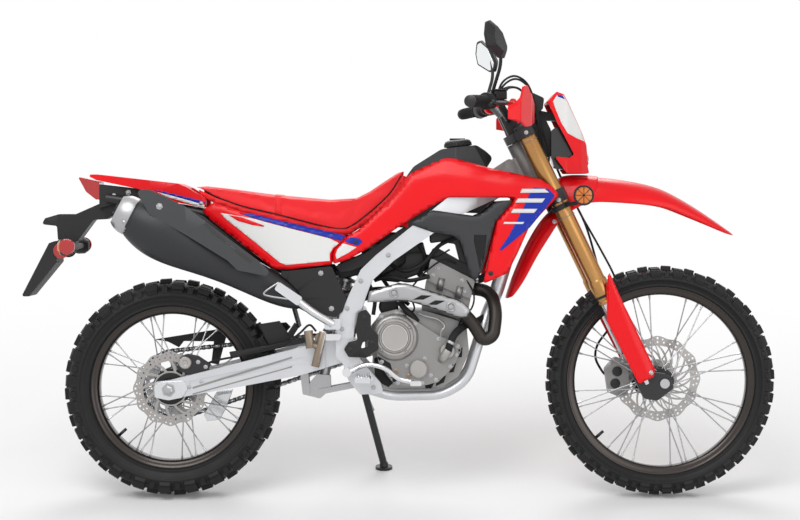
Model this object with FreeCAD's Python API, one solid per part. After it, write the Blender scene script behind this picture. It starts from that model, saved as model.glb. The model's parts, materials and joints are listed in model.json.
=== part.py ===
"""Dual sport motorcycle. It is drawn upright, X forward from the rear axle, Y to the left, Z up from the ground,
and then leaned onto its side stand and centred over the floor. All lengths are millimetres."""
import FreeCAD, Part
import math
import os

V = FreeCAD.Vector

# Driving dimensions: wheels and chassis
LEAN = 10.0
RAKE = 25.8
FRONT_TYRE_R = 341.0
FRONT_TYRE_DEPTH = 63.0
FRONT_TYRE_W = 86.0
FRONT_RIM_R = FRONT_TYRE_R - FRONT_TYRE_DEPTH
FRONT_RIM_W = 52.0
FRONT_PITCHES = 30
REAR_TYRE_R = 322.0
REAR_TYRE_DEPTH = 82.0
REAR_TYRE_W = 122.0
REAR_RIM_R = REAR_TYRE_R - REAR_TYRE_DEPTH
REAR_RIM_W = 70.0
REAR_PITCHES = 24
KNOB_HEIGHT = 12.0
RIM_DEPTH = 24.0
RIM_WALL = 5.0
BEAD_DEPTH = 9.0
SPOKES = 32
SPOKE_R = 1.9
FRONT_HUB_HALF = 36.0
REAR_HUB_HALF = 48.0
AXLE_R = 10.0
FIT = 0.3
RUNNING = 0.06
HUB_GAP = 0.6
FRONT_HUB_R = 24.0
FRONT_HUB_RIGHT = 48.0
FRONT_HUB_LEFT = 57.0
FRONT_COLLAR_R = 15.0
REAR_HUB_R = 30.0
REAR_HUB_RIGHT = 74.0
REAR_HUB_LEFT = 76.0
REAR_COLLAR_R = 17.0

# Steering and fork
FORK_FOOT = (1445.0, 341.0)
CLAMP_OFFSET = 30.0
AXLE_LEAD = 45.8
STEM_R = 14.0
HEAD_PIPE_R = 31.0
FORK_HALF = 98.0
FORK_TUBE_R = 26.0
FORK_INNER_R = 21.5
FORK_TUBE_LOW = 310.0
FORK_TUBE_TOP = 856.0
LOWER_CLAMP = (608.0, 646.0)
UPPER_CLAMP = (822.0, 848.0)
UPPER_REACH = 62.0
HEAD_GAP = 1.5
COWL_STRUT = 87.3

# Handlebar
BAR_U = 4.0
BAR_RISE = 44.0
BAR_W = UPPER_CLAMP[1] + BAR_RISE
BAR_R = 14.0
BAR_END_R = 11.0
BAR_KNEE = (957.0, 190.0, 1160.0)
BAR_END = (872.0, 405.0, 1149.0)
GRIP_LENGTH = 128.0

# Brakes and drive
FRONT_DISC_R = 128.0
FRONT_DISC_Y = 52.0
REAR_DISC_R = 110.0
REAR_DISC_Y = -72.0
DISC_THICK = 4.0
DISC_GAP = 5.2
CHAIN_PITCH = 15.875
CHAIN_Y = 72.0
CHAIN_W = 12.0
CHAIN_HALF = 7.5
ROLLER_R = 5.2
TOOTH_GAP = 0.7
REAR_TEETH = 40
COUNTERSHAFT = (603.0, 455.0)
FRONT_TEETH = 13

# Frame and swingarm
PIVOT = (530.0, 445.0)
PIVOT_R = 19.0
PIVOT_HEAD = 9.0
LOW_BAR = (560.0, 330.0)
LOW_BAR_R = 12.0
SHOCK_TOP = (520.0, 676.0)
SHOCK_FOOT = (447.0, 346.0)
ARM_IN = 92.0
ARM_OUT = 117.0
SPAR_IN = 99.0
SPAR_OUT = 127.0
DOWN_TUBE_R = 21.0
RAIL_R = 14.0
RAIL_HALF = 74.0
SUBFRAME_R = 12.0
SUBFRAME_HALF = 82.0

# Engine and exhaust
CASE_HALF = 94.0
SPROCKET_BAY = 60.0
COVER_OUT = 132.0
CLUTCH = (659.0, 476.0)
CLUTCH_R = 58.0
FILTER = (728.0, 384.0)
FILTER_R = 27.0
CYLINDER_HALF = 72.0
HEADER_R = 19.0
SHIELD_OUT = 204.0
GUARD_OUT = 150.0

# Bodywork
PANEL = 4.0
SEAM = [(524, 773), (503, 752), (484, 733), (478, 716), (480, 688)]
SEAM_GAP = 1.5
SEAT_HALF = 112.0
TANK_HALF = 104.0

# Side stand
STAND_PIVOT = (556.0, 142.0, 326.0)
STAND_FOOT_X = 622.0
STAND_FOOT_Y = 268.0
STAND_R = 11.0
STAND_PIN_R = 6.0
STAND_FOLDED = V(-0.985, 0.07, 0.12)
CONTACT_DROP = 2.9

ALPHA = math.radians(RAKE)
AXLE_OFFSET = CLAMP_OFFSET + AXLE_LEAD
AXLE_W = (FRONT_TYRE_R - FORK_FOOT[1]) / math.cos(ALPHA)


def on(plane, u, v, w):
    """A point given in a plane's own two directions and its offset w."""
    if plane == "xz":
        return V(u, w, v)
    if plane == "xy":
        return V(u, v, w)
    return V(w, u, v)


def outline(points, radius=0.0, plane="xz", w=0.0):
    """A closed outline whose corners have the given radius, or a point's own third number."""
    flat = [V(p[0], p[1], 0) for p in points]
    corners = []
    for i, point in enumerate(points):
        wanted = point[2] if len(point) > 2 else radius
        corner = flat[i]
        back = flat[i - 1] - corner
        ahead = flat[(i + 1) % len(flat)] - corner
        room = 0.48 * min(back.Length, ahead.Length)
        back.normalize()
        ahead.normalize()
        half_turn = (math.pi - back.getAngle(ahead)) / 2
        if wanted <= 0 or half_turn < 0.01:
            corners.append([corner])
            continue
        cut = min(wanted * math.tan(half_turn), room)
        fitted = cut / math.tan(half_turn)
        inward = back + ahead
        inward.normalize()
        middle = corner + inward * (fitted / math.cos(half_turn) - fitted)
        corners.append([corner + back * cut, middle, corner + ahead * cut])
    edges = []
    for i, corner in enumerate(corners):
        placed = [on(plane, p.x, p.y, w) for p in corner]
        following = corners[(i + 1) % len(corners)][0]
        if len(placed) == 3:
            edges.append(Part.Arc(*placed).toShape())
        edges.append(Part.LineSegment(placed[-1], on(plane, following.x, following.y, w)).toShape())
    return Part.Wire(edges)


def slab(points, y_low, y_high, radius=0.0):
    """A side outline, in X and Z, given a thickness across the machine."""
    return Part.Face(outline(points, radius, "xz", y_low)).extrude(V(0, y_high - y_low, 0))


def plan(points, z_low, z_high, radius=0.0, lean_in=0.0):
    """A plan outline, in X and Y, given a height; lean_in shifts its top sideways per unit of height."""
    height = z_high - z_low
    return Part.Face(outline(points, radius, "xy", z_low)).extrude(V(0, lean_in * height, height))


def across(points, x_low, x_high, radius=0.0):
    """A front outline, in Y and Z, given a length along the machine."""
    return Part.Face(outline(points, radius, "yz", x_low)).extrude(V(x_high - x_low, 0, 0))


def rod(start, end, radius):
    return Part.makeCylinder(radius, (end - start).Length, start, end - start)


def turned(profile, base, direction):
    """A profile of (radius, height) points turned about an axis through base."""
    wire = Part.makePolygon([V(r, 0, h) for r, h in profile + profile[:1]])
    body = Part.Face(wire).revolve(V(0, 0, 0), V(0, 0, 1), 360)
    body.Placement = FreeCAD.Placement(base, FreeCAD.Rotation(V(0, 0, 1), direction))
    return body


def turned_y(profile, x, z):
    """A profile of (radius, y) points turned about a crosswise axis at x, z."""
    wire = Part.makePolygon([V(x + r, y, z) for r, y in profile + profile[:1]])
    return Part.Face(wire).revolve(V(x, 0, z), V(0, 1, 0), 360)


def bent_path(points, limit):
    """Straight runs joined by tangent arcs as large as the runs and the limit allow."""
    runs = [(b - a).Length for a, b in zip(points, points[1:])]
    edges = []
    last = points[0]
    for i in range(1, len(points) - 1):
        back = points[i - 1] - points[i]
        ahead = points[i + 1] - points[i]
        back.normalize()
        ahead.normalize()
        half_turn = (math.pi - back.getAngle(ahead)) / 2
        cut = min(0.45 * min(runs[i - 1], runs[i]), limit * math.tan(half_turn))
        radius = cut / math.tan(half_turn)
        inward = back + ahead
        inward.normalize()
        start = points[i] + back * cut
        middle = points[i] + inward * (radius / math.cos(half_turn) - radius)
        end = points[i] + ahead * cut
        edges.append(Part.LineSegment(last, start).toShape())
        edges.append(Part.Arc(start, middle, end).toShape())
        last = end
    edges.append(Part.LineSegment(last, points[-1]).toShape())
    return Part.Wire(edges)


def bent_tube(points, radius, limit=1000.0):
    """A round bar along bent_path."""
    path = bent_path(points, limit)
    circle = Part.Wire([Part.Circle(points[0], points[1] - points[0], radius).toShape()])
    return path.makePipeShell([circle], True, False)


def mirrored(shape):
    return shape.mirror(V(0, 0, 0), V(0, 1, 0))


def pair(shape):
    """The shape and its mirror image across the centre plane, as two solids."""
    return Part.makeCompound([shape, mirrored(shape)])


def fused(*shapes):
    return shapes[0].multiFuse(list(shapes[1:])).removeSplitter()


def fork_point(u, y, w):
    """A point from its distance ahead of the steering axis and its height up that axis from the fork's foot."""
    ahead = V(math.cos(ALPHA), 0, math.sin(ALPHA))
    up = V(-math.sin(ALPHA), 0, math.cos(ALPHA))
    return V(FORK_FOOT[0], y, FORK_FOOT[1]) + ahead * (u - AXLE_OFFSET) + up * w


def on_fork(shape):
    """Places a shape drawn with Z as the steering axis and X ahead of it."""
    placed = shape.copy()
    placed.Placement = FreeCAD.Placement(
        fork_point(0, 0, 0), FreeCAD.Rotation(V(0, 1, 0), -RAKE)
    ).multiply(placed.Placement)
    return placed


# Wheels


def ring_point(centre, radius, y, angle):
    return V(centre[0] + radius * math.cos(angle), y, centre[1] + radius * math.sin(angle))


def knobbed_tyre(centre, radius, width, rim_radius, rim_width, pitches):
    """A tyre of flat facets: centre knobs and shoulder knobs take turns round it."""
    cells = 2 * pitches
    half = width / 2
    seat_half = rim_width / 2 - RIM_WALL - FIT
    seat_radius = (rim_radius - BEAD_DEPTH + FIT) / math.cos(math.pi / cells)
    crown = radius - KNOB_HEIGHT
    depth = radius - rim_radius
    side = [
        (crown, 0.30 * half),
        (crown - 0.04 * depth, 0.46 * half),
        (crown - 0.20 * depth, 0.86 * half),
        (crown - 0.42 * depth, half),
        (rim_radius + 0.22 * depth, 0.92 * half),
        (rim_radius + 2, seat_half),
        (seat_radius, seat_half),
    ]
    base = [(r, -y) for r, y in reversed(side)] + side
    last = len(base) - 1
    middle_row = len(side) - 1
    shoulder_rows = (middle_row - 2, middle_row + 2)

    def lifted(point, row):
        if row == middle_row:
            return (point[0] + KNOB_HEIGHT, point[1] * 0.92)
        return (point[0] + 0.86 * KNOB_HEIGHT, point[1] * 1.03)

    def quad(*corners):
        return Part.Face(Part.makePolygon(list(corners) + [corners[0]]))

    faces = []
    for cell in range(cells):
        turn = 2 * math.pi / cells
        ends = (cell * turn, ((cell + 1) % cells) * turn)
        for row in range(last):
            a, b = base[row], base[row + 1]
            raised = row == middle_row if cell % 2 == 0 else row in shoulder_rows
            low = [ring_point(centre, *p, angle) for angle in ends for p in (a, b)]
            if not raised:
                faces.append(quad(low[0], low[1], low[3], low[2]))
                continue
            top = [ring_point(centre, *lifted(p, row), angle) for angle in ends for p in (a, b)]
            faces.append(quad(top[0], top[1], top[3], top[2]))
            faces.append(quad(low[0], top[0], top[2], low[2]))
            faces.append(quad(low[1], top[1], top[3], low[3]))
            faces.append(quad(low[0], low[1], top[1], top[0]))
            faces.append(quad(low[2], low[3], top[3], top[2]))
        inner = [ring_point(centre, *p, angle) for angle in ends for p in (base[last], base[0])]
        faces.append(quad(inner[0], inner[1], inner[3], inner[2]))
    shell = Part.makeShell(faces)
    shell.sewShape()
    solid = Part.makeSolid(Part.Shell(shell.Faces))
    if solid.Volume < 0:
        solid.reverse()
    return solid


def rim(centre, radius, width):
    """A wheel rim with raised edges that hold the tyre and a well towards the hub."""
    half = width / 2
    inner = radius - RIM_DEPTH
    bed = radius - BEAD_DEPTH
    section = [
        (inner, -0.28 * width), (inner + 8, -half + 3), (radius - 2, -half), (radius, -half + 1.5),
        (radius, -half + RIM_WALL - 1), (bed, -half + RIM_WALL), (bed, half - RIM_WALL),
        (radius, half - RIM_WALL + 1), (radius, half - 1.5), (radius - 2, half), (inner + 8, half - 3),
        (inner, 0.28 * width),
    ]
    return turned_y(section, *centre)


def spoked_hub(centre, half, flange_r, core_r, rim_radius, right, left):
    """A hub turned in one piece, with wire spokes laced from its two flanges to the rim."""
    flange = 6.0
    bore = AXLE_R + RUNNING
    hub = turned_y([
        (bore, -right), (core_r, -right), (core_r, -half), (flange_r, -half),
        (flange_r, -half + flange), (core_r, -half + 2 * flange), (core_r - 3, 0),
        (core_r, half - 2 * flange), (flange_r, half - flange), (flange_r, half),
        (core_r, half), (core_r, left), (bore, left),
    ], *centre)
    reach = rim_radius - RIM_DEPTH - 2 * FIT
    each_side = SPOKES // 2
    spokes = []
    for i in range(SPOKES):
        side = 1 if i % 2 else -1
        step = i // 2
        start = 2 * math.pi * (step + 0.5 * (side > 0)) / each_side
        sweep = math.radians(38) * (1 if step % 2 else -1)
        y_hub = side * (half - flange / 2 + 2.4 * (1 if step % 2 else -1))
        foot = ring_point(centre, flange_r - 5, y_hub, start)
        tip = ring_point(centre, reach, side * 5, start + sweep)
        spokes.append(rod(foot, tip, SPOKE_R))
    return hub.multiFuse(spokes)


def slotted_disc(centre, y, radius, inner, hub_r):
    """A wave-edged brake disc on a spider that reaches in to the hub."""
    edge = []
    lobes = 12
    for i in range(lobes * 2):
        angle = math.pi * i / lobes
        edge.append((radius if i % 2 else radius - 5, angle))
    points = [(centre[0] + r * math.cos(a), centre[1] + r * math.sin(a)) for r, a in edge]
    disc = slab(points, y, y + DISC_THICK, 12.0)
    top = y + DISC_THICK + 1
    disc = disc.cut(turned_y([(0, y - 1), (inner, y - 1), (inner, top), (0, top)], *centre))
    carrier = turned_y([(hub_r, y), (hub_r + 14, y), (hub_r + 14, y + DISC_THICK), (hub_r, y + DISC_THICK)], *centre)
    arms = []
    arm_half = 7.0
    for i in range(6):
        arm = Part.makeBox(inner - hub_r + 4, DISC_THICK, 2 * arm_half, V(hub_r + 6, y, -arm_half))
        arm.rotate(V(0, 0, 0), V(0, 1, 0), 60 * i + 15)
        arm.translate(V(centre[0], 0, centre[1]))
        arms.append(arm)
    disc = fused(disc, carrier, *arms)
    holes = []
    for i in range(24):
        angle = math.radians(15 * i)
        r = (radius + inner) / 2 + (6 if i % 2 else -4)
        hole = ring_point(centre, r, y - 1, angle)
        holes.append(Part.makeCylinder(3.5, DISC_THICK + 2, hole, V(0, 1, 0)))
    return disc.cut(Part.makeCompound(holes))


def pitch_radius(teeth):
    return CHAIN_PITCH / (2 * math.sin(math.pi / teeth))


def sprocket(centre, teeth, bore, windows):
    """A sprocket whose teeth stop under the chain's rollers, with round windows in its web."""
    tip = pitch_radius(teeth) - ROLLER_R - TOOTH_GAP
    y = CHAIN_Y - 3.0
    points = []
    for i in range(teeth):
        for share, r in ((-0.32, tip - 4), (-0.12, tip), (0.12, tip), (0.32, tip - 4)):
            angle = 2 * math.pi * (i + share) / teeth
            points.append((centre[0] + r * math.cos(angle), centre[1] + r * math.sin(angle)))
    holes = [Part.makeCylinder(bore, 8, V(centre[0], y - 1, centre[1]), V(0, 1, 0))]
    for i in range(windows):
        hole = ring_point(centre, 66, y - 1, math.radians(60 * i))
        holes.append(Part.makeCylinder(17, 8, hole, V(0, 1, 0)))
    return slab(points, y, y + 6.0).cut(Part.makeCompound(holes))


def chain():
    """The drive chain as one closed loop whose edges swell at every roller."""
    rear_r = pitch_radius(REAR_TEETH)
    front_r = pitch_radius(FRONT_TEETH)
    rear = V(REAR_AXLE[0], REAR_AXLE[1], 0)
    front = V(COUNTERSHAFT[0], COUNTERSHAFT[1], 0)
    line = front - rear
    base = math.atan2(line.y, line.x)
    spread = math.acos((rear_r - front_r) / line.Length)
    run = math.sqrt(line.Length ** 2 - (rear_r - front_r) ** 2)
    top, bottom = base + spread, base - spread
    rear_arc = rear_r * (2 * math.pi - 2 * spread)
    front_arc = front_r * 2 * spread
    total = 2 * run + rear_arc + front_arc
    steps = 2 * round(total / CHAIN_PITCH)

    def place(distance, offset):
        if distance < run:
            start = rear + V(math.cos(top), math.sin(top), 0) * rear_r
            end = front + V(math.cos(top), math.sin(top), 0) * front_r
            spot = start + (end - start) * (distance / run)
            angle = top
        elif distance < run + front_arc:
            angle = top - (distance - run) / front_r
            spot = front + V(math.cos(angle), math.sin(angle), 0) * front_r
        elif distance < 2 * run + front_arc:
            start = front + V(math.cos(bottom), math.sin(bottom), 0) * front_r
            end = rear + V(math.cos(bottom), math.sin(bottom), 0) * rear_r
            spot = start + (end - start) * ((distance - run - front_arc) / run)
            angle = bottom
        else:
            angle = bottom - (distance - 2 * run - front_arc) / rear_r
            spot = rear + V(math.cos(angle), math.sin(angle), 0) * rear_r
        spot = spot + V(math.cos(angle), math.sin(angle), 0) * offset
        return (spot.x, spot.y)

    outer, inner = [], []
    for i in range(steps):
        swell = CHAIN_HALF if i % 2 == 0 else CHAIN_HALF - 2.5
        outer.append(place(total * i / steps, swell))
        inner.append(place(total * i / steps, -ROLLER_R if i % 2 == 0 else -ROLLER_R + 1.5))
    y_low = CHAIN_Y - CHAIN_W / 2
    ring = slab(outer, y_low, y_low + CHAIN_W)
    return ring.cut(slab(inner, y_low - 1, y_low + CHAIN_W + 1))


REAR_AXLE = (0.0, REAR_TYRE_R)
FRONT_AXLE = (fork_point(AXLE_OFFSET, 0, AXLE_W).x, FRONT_TYRE_R)


# Chassis


def crossbar(x, z, radius):
    return rod(V(x, -SPAR_IN - 1, z), V(x, SPAR_IN + 1, z), radius)


def main_frame():
    """Head pipe, two pressed spars, pivot plates, down tube and cradle in one welded frame."""
    low, high = LOWER_CLAMP[1] + HEAD_GAP, UPPER_CLAMP[0] - HEAD_GAP
    bore = STEM_R + RUNNING
    wall = [(bore, low), (HEAD_PIPE_R, low), (HEAD_PIPE_R, high), (bore, high)]
    head = on_fork(turned(wall, V(0, 0, 0), V(0, 0, 1)))
    upper = [
        (1003, 1003), (940, 962), (820, 888), (717, 806), (605, 716), (560, 673), (523, 594), (493, 519), (488, 475),
    ]
    lower = [
        (539, 471), (541, 501), (563, 560), (592, 640), (656, 699), (771, 779), (860, 836), (960, 880), (1050, 905),
    ]
    side = slab(upper + lower, -SPAR_OUT, SPAR_OUT, 14.0)
    outer = [(1050, 16), (985, 34), (900, 74), (760, SPAR_OUT), (480, SPAR_OUT)]
    inner = [(480, SPAR_IN), (745, SPAR_IN), (880, 46), (960, 8), (1000, 2), (1050, 2)]
    band = plan(outer + inner, 400, 1100, 20.0)
    spar = side.common(band)
    plate_outline = [
        (503, 560), (548, 560), (543, 518), (538, 458), (558, 413), (618, 343), (626, 313),
        (558, 309), (523, 352), (508, 398), (488, 418), (486, 493),
    ]
    plate = slab(plate_outline, -SPAR_OUT + 4, -SPAR_IN, 10.0)
    neck_side = [(1012, 1000), (960, 972), (915, 925), (975, 900), (1060, 905), (1083, 915), (1030, 1008)]
    neck = slab(neck_side, -20, 20, 8.0)
    down = bent_tube([V(1066, 0, 925), V(1000, 0, 735), V(962, 0, 612), V(950, 0, 580)], DOWN_TUBE_R)
    rail = bent_tube([
        V(958, 0, 606), V(930, -RAIL_HALF * 0.8, 540), V(904, -RAIL_HALF, 450), V(872, -RAIL_HALF, 348),
        V(800, -RAIL_HALF, 303), V(650, -RAIL_HALF - 10, 301), V(585, -SPAR_IN - 6, 322),
    ], RAIL_R)
    bars = [crossbar(PIVOT[0] + 30, 545, 13), crossbar(LOW_BAR[0], LOW_BAR[1], LOW_BAR_R), crossbar(572, 655, 12)]
    ear = slab([(508, 690), (560, 674), (582, 655), (570, 643), (510, 662)], -26, -16 - FIT, 8.0)
    half = [spar, plate, rail, ear]
    body = fused(neck, head, down, *half, *[mirrored(s) for s in half], *bars)
    pivot_hole = rod(V(PIVOT[0], -200, PIVOT[1]), V(PIVOT[0], 200, PIVOT[1]), 9.0)
    stem_hole = on_fork(Part.makeCylinder(bore, high - low + 60, V(0, 0, low - 30), V(0, 0, 1)))
    clearance = []
    for w_low, w_high in ((LOWER_CLAMP[0] - 40, low), (high, UPPER_CLAMP[1] + 30)):
        clearance.append(on_fork(Part.makeCylinder(60, w_high - w_low, V(0, 0, w_low), V(0, 0, 1))))
    return body.cut(Part.makeCompound([pivot_hole, stem_hole] + clearance))


def subframe():
    """Two upper rails under the seat and two stays, joined by cross tubes."""
    s = -SUBFRAME_HALF
    thin = SUBFRAME_R - 1
    upper = bent_tube([
        V(650, -SPAR_IN + SUBFRAME_R + FIT, 722), V(560, s - 2, 748), V(470, s, 752), V(330, s, 778),
        V(60, s, 846), V(-190, s + 22, 882),
    ], SUBFRAME_R)
    stay = bent_tube([
        V(524, -SPAR_IN + thin + 2 * FIT, 552), V(470, s - 8, 594), V(420, s - 8, 622), V(250, s - 4, 712), V(70, s, 840),
    ], thin)
    cross = [rod(V(x, s, z), V(x, -s, z), 9) for x, z in ((556, 749), (300, 785), (60, 846))]
    return fused(upper, stay, mirrored(upper), mirrored(stay), *cross)


def swingarm():
    """Two tapered arms, a pivot tube and a cross member, with slotted axle plates."""
    arm_outline = [
        (-42, 300), (-40, 345), (2, 350), (383, 446), (470, 466), (520, 470), (556, 448), (548, 420),
        (500, 398), (383, 365), (226, 335), (-8, 293),
    ]
    arm = slab(arm_outline, -ARM_OUT + 22, -ARM_OUT, 8.0)
    arm = slab(arm_outline, -ARM_OUT, -ARM_IN, 8.0)
    groove = slab([(60, 348), (400, 420), (400, 398), (60, 336)], -ARM_OUT - 1, -ARM_OUT + 3, 6.0)
    arm = arm.cut(groove)
    narrow = slab([(455, 380), (600, 380), (600, 500), (455, 500)], -ARM_OUT - 1, -SPAR_IN + 1.5)
    arm = arm.cut(narrow)
    slot = rod(V(0, -ARM_OUT - 1, REAR_AXLE[1]), V(0, -ARM_IN + 1, REAR_AXLE[1]), AXLE_R + FIT)
    arm = arm.cut(slot)
    tube = rod(V(PIVOT[0], -ARM_IN - 1, PIVOT[1]), V(PIVOT[0], ARM_IN + 1, PIVOT[1]), PIVOT_R)
    beam = slab([(350, 385), (350, 425), (368, 436), (412, 440), (418, 392)], -ARM_IN - 1, ARM_IN + 1, 8.0)
    body = fused(arm, mirrored(arm), tube, beam)
    bore = rod(V(PIVOT[0], -200, PIVOT[1]), V(PIVOT[0], 200, PIVOT[1]), 8.0 + FIT)
    return body.cut(bore)


def pivot_bolt():
    return fused(
        rod(V(PIVOT[0], -SPAR_OUT - 4, PIVOT[1]), V(PIVOT[0], SPAR_OUT + 4, PIVOT[1]), 8.0),
        rod(V(PIVOT[0], -SPAR_OUT - PIVOT_HEAD, PIVOT[1]), V(PIVOT[0], -SPAR_OUT + 4 - FIT - 4, PIVOT[1]), 14.0),
        rod(V(PIVOT[0], SPAR_OUT + PIVOT_HEAD, PIVOT[1]), V(PIVOT[0], SPAR_OUT + FIT, PIVOT[1]), 14.0),
    )


def axle(centre, reach, head_r, collar_r, right, left, inside):
    """A wheel axle with its end nuts and the collars beside the hub, which ends at right and left."""
    x, z = centre
    return fused(
        rod(V(x, -reach, z), V(x, reach, z), AXLE_R),
        rod(V(x, -reach - 7, z), V(x, -reach, z), head_r),
        rod(V(x, reach, z), V(x, reach + 7, z), head_r),
        rod(V(x, -inside + FIT, z), V(x, -right - HUB_GAP, z), collar_r),
        rod(V(x, left + HUB_GAP, z), V(x, inside - FIT, z), collar_r),
    )


# Engine


def crankcase():
    """Crankcase halves with the clutch cover side and the generator side."""
    middle = slab([
        (590, 350), (600, 520), (650, 552), (745, 552), (868, 515), (876, 430), (846, 360), (795, 327), (620, 325),
    ], -CASE_HALF, CASE_HALF, 18.0)
    bay = slab([(560, 390), (660, 402), (676, 440), (660, 500), (560, 512)], SPROCKET_BAY, CASE_HALF + 1, 14.0)
    middle = middle.cut(bay)
    right = slab([
        (612, 544), (664, 557), (719, 524), (788, 479), (846, 459), (853, 439), (829, 389), (784, 344),
        (739, 334), (662, 334), (640, 360), (612, 400), (604, 439), (606, 479),
    ], -COVER_OUT + 16, -CASE_HALF + 1, 12.0)
    left = slab([
        (690, 520), (730, 530), (790, 500), (850, 450), (846, 400), (790, 345), (710, 340), (688, 380),
    ], CASE_HALF - 1, COVER_OUT - 18, 14.0)
    generator = rod(V(752, CASE_HALF, 440), V(752, COVER_OUT - 4, 440), 62)
    shaft = rod(V(COUNTERSHAFT[0], SPROCKET_BAY - 1, COUNTERSHAFT[1]), V(COUNTERSHAFT[0], 80, COUNTERSHAFT[1]), 11)
    return fused(middle, right, left, generator, shaft, sprocket(COUNTERSHAFT, FRONT_TEETH, 10, 0))


def sprocket_cover():
    """The dark cover outside the engine sprocket."""
    side = [(568, 408), (664, 400), (682, 440), (664, 504), (600, 516), (566, 470)]
    return slab(side, CASE_HALF + FIT, CASE_HALF + 12, 12.0)


def frame_guard():
    """The dark guard over the frame's pivot and the clutch cover's rear edge."""
    side = [
        (576, 558), (590, 540), (590, 506), (611, 484), (611, 440), (594, 431), (578, 418), (525, 420), (511, 442),
        (525, 463), (551, 469), (545, 501), (553, 549),
    ]
    inner = -SPAR_OUT - PIVOT_HEAD - FIT
    window = slab([(560, 444), (580, 450), (584, 470), (566, 462)], inner - 10, inner + 10, 3.0)
    return slab(side, inner - 5, inner, 7.0).cut(window)


def clutch_cover():
    """The round clutch cover with its raised centre, the oil filter cover and the water pump."""
    y = -COVER_OUT + 16
    cover = turned_y([
        (0, y), (CLUTCH_R, y), (CLUTCH_R, y - 14), (CLUTCH_R - 6, y - 20), (CLUTCH_R - 10, y - 20),
        (CLUTCH_R - 14, y - 15), (CLUTCH_R - 17, y - 15), (CLUTCH_R - 20, y - 22), (0, y - 22),
    ], *CLUTCH)
    oil = turned_y([(0, y), (FILTER_R, y), (FILTER_R, y - 10), (FILTER_R - 4, y - 14), (0, y - 14)], *FILTER)
    pump = turned_y([(0, y), (24, y), (20, y - 18), (0, y - 18)], 812, 437)
    return fused(cover, oil, pump)


def cylinder():
    """Cylinder, head and valve cover leaning forward from the crankcase."""
    block_side = [(737, 553), (752, 640), (882, 590), (868, 516), (800, 540)]
    block = slab(block_side, -CYLINDER_HALF + 8, CYLINDER_HALF - 8, 6.0)
    head = slab([(751, 640), (764, 706), (894, 640), (881, 584)], -CYLINDER_HALF, CYLINDER_HALF, 6.0)
    top_side = [(764, 706), (769, 729), (782, 735), (893, 672), (903, 660), (895, 640)]
    cover = slab(top_side, -CYLINDER_HALF + 10, CYLINDER_HALF - 10, 6.0)
    body = fused(block, head, cover)
    return body.cut(crankcase())


HEADER_ROUTE = [
    V(878, -26, 616), V(940, -52, 606), V(956, -98, 550), V(946, -118, 480), V(916, -123, 466), V(884, -123, 520),
    V(846, -119, 558), V(764, -112, 588), V(690, -98, 603), V(620, -74, 604), V(540, -60, 595), V(456, -56, 578),
]
MUFFLER_INLET = V(386, -106, 577)
MUFFLER_BODY = [(40, 36, 31), (96, 45, 36), (250, 56, 43), (548, 58, 45)]
MUFFLER_TURN = V(-487, -46, 249)
MUFFLER_CAP = [(FIT, 57, 44), (30, 54, 41), (50, 42, 31)]


def muffler_axis():
    axis = V(MUFFLER_TURN)
    axis.normalize()
    return axis


def elliptic_body(base, axis, sections, grow=0.0):
    """A loft through ellipses, given by distance along the axis, height and width."""
    upright = axis.cross(V(0, 1, 0))
    upright.normalize()
    wires = []
    for distance, tall, wide in sections:
        wire = Part.Wire([Part.Ellipse(V(0, 0, 0), tall + grow, wide + grow).toShape()])
        turn = FreeCAD.Rotation(upright, axis.cross(upright), axis, "ZXY")
        wire.Placement = FreeCAD.Placement(base + axis * distance, turn)
        wires.append(wire)
    return Part.makeLoft(wires, True, False)


def exhaust_header():
    """The pipe from the cylinder's front port, looped back along the right side to the muffler."""
    axis = muffler_axis()
    end = MUFFLER_INLET - axis * FIT
    pipe = bent_tube(HEADER_ROUTE + [end - axis * 34, end], HEADER_R)
    return pipe.cut(cylinder())


def muffler_body(grow=0.0):
    return elliptic_body(MUFFLER_INLET, muffler_axis(), [(0, 22, 22)] + MUFFLER_BODY, grow)


def muffler_cap():
    axis = muffler_axis()
    base = MUFFLER_INLET + axis * MUFFLER_BODY[-1][0]
    cap = elliptic_body(base, axis, MUFFLER_CAP)
    outlet = rod(base + axis * 20, base + axis * 60, 17)
    return cap.cut(outlet)


def heat_shields():
    """The long cover outside the muffler and the slotted guard over the header, each on its posts."""
    long_side = [
        (-85, 906), (-41, 904), (56, 858), (117, 814), (267, 702), (319, 652), (209, 673), (179, 702),
        (65, 772), (-45, 834),
    ]
    outside = -SHIELD_OUT
    long_shield = slab(long_side, outside, outside + 3, 10.0)
    axis = muffler_axis()
    for distance in (200, 450):
        at = MUFFLER_INLET + axis * distance
        long_shield = long_shield.fuse(rod(V(at.x, at.y - 20, at.z + 14), V(at.x, outside + 1, at.z + 14), 7))
    long_shield = long_shield.cut(muffler_body(FIT))
    guard = slab([
        (596, 592), (602, 614), (671, 636), (730, 622), (841, 589), (877, 556), (874, 534), (855, 534),
        (767, 563), (701, 581), (657, 585),
    ], -GUARD_OUT, -GUARD_OUT + 3, 6.0)
    slots = []
    for x in (705, 735, 765):
        slots.append(slab([(x, 590), (x + 30, 604), (x + 38, 602), (x + 8, 588)], -GUARD_OUT - 1, -130))
    guard = guard.cut(Part.makeCompound(slots))
    posts = []
    for x, y, z in ((684, -100, 606), (842, -119, 561)):
        posts.append(rod(V(x, y, z), V(x, -GUARD_OUT + 1, z), 6))
    guard = fused(guard, *posts).cut(exhaust_header())
    return Part.makeCompound([long_shield, guard])


# Bodywork


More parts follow.
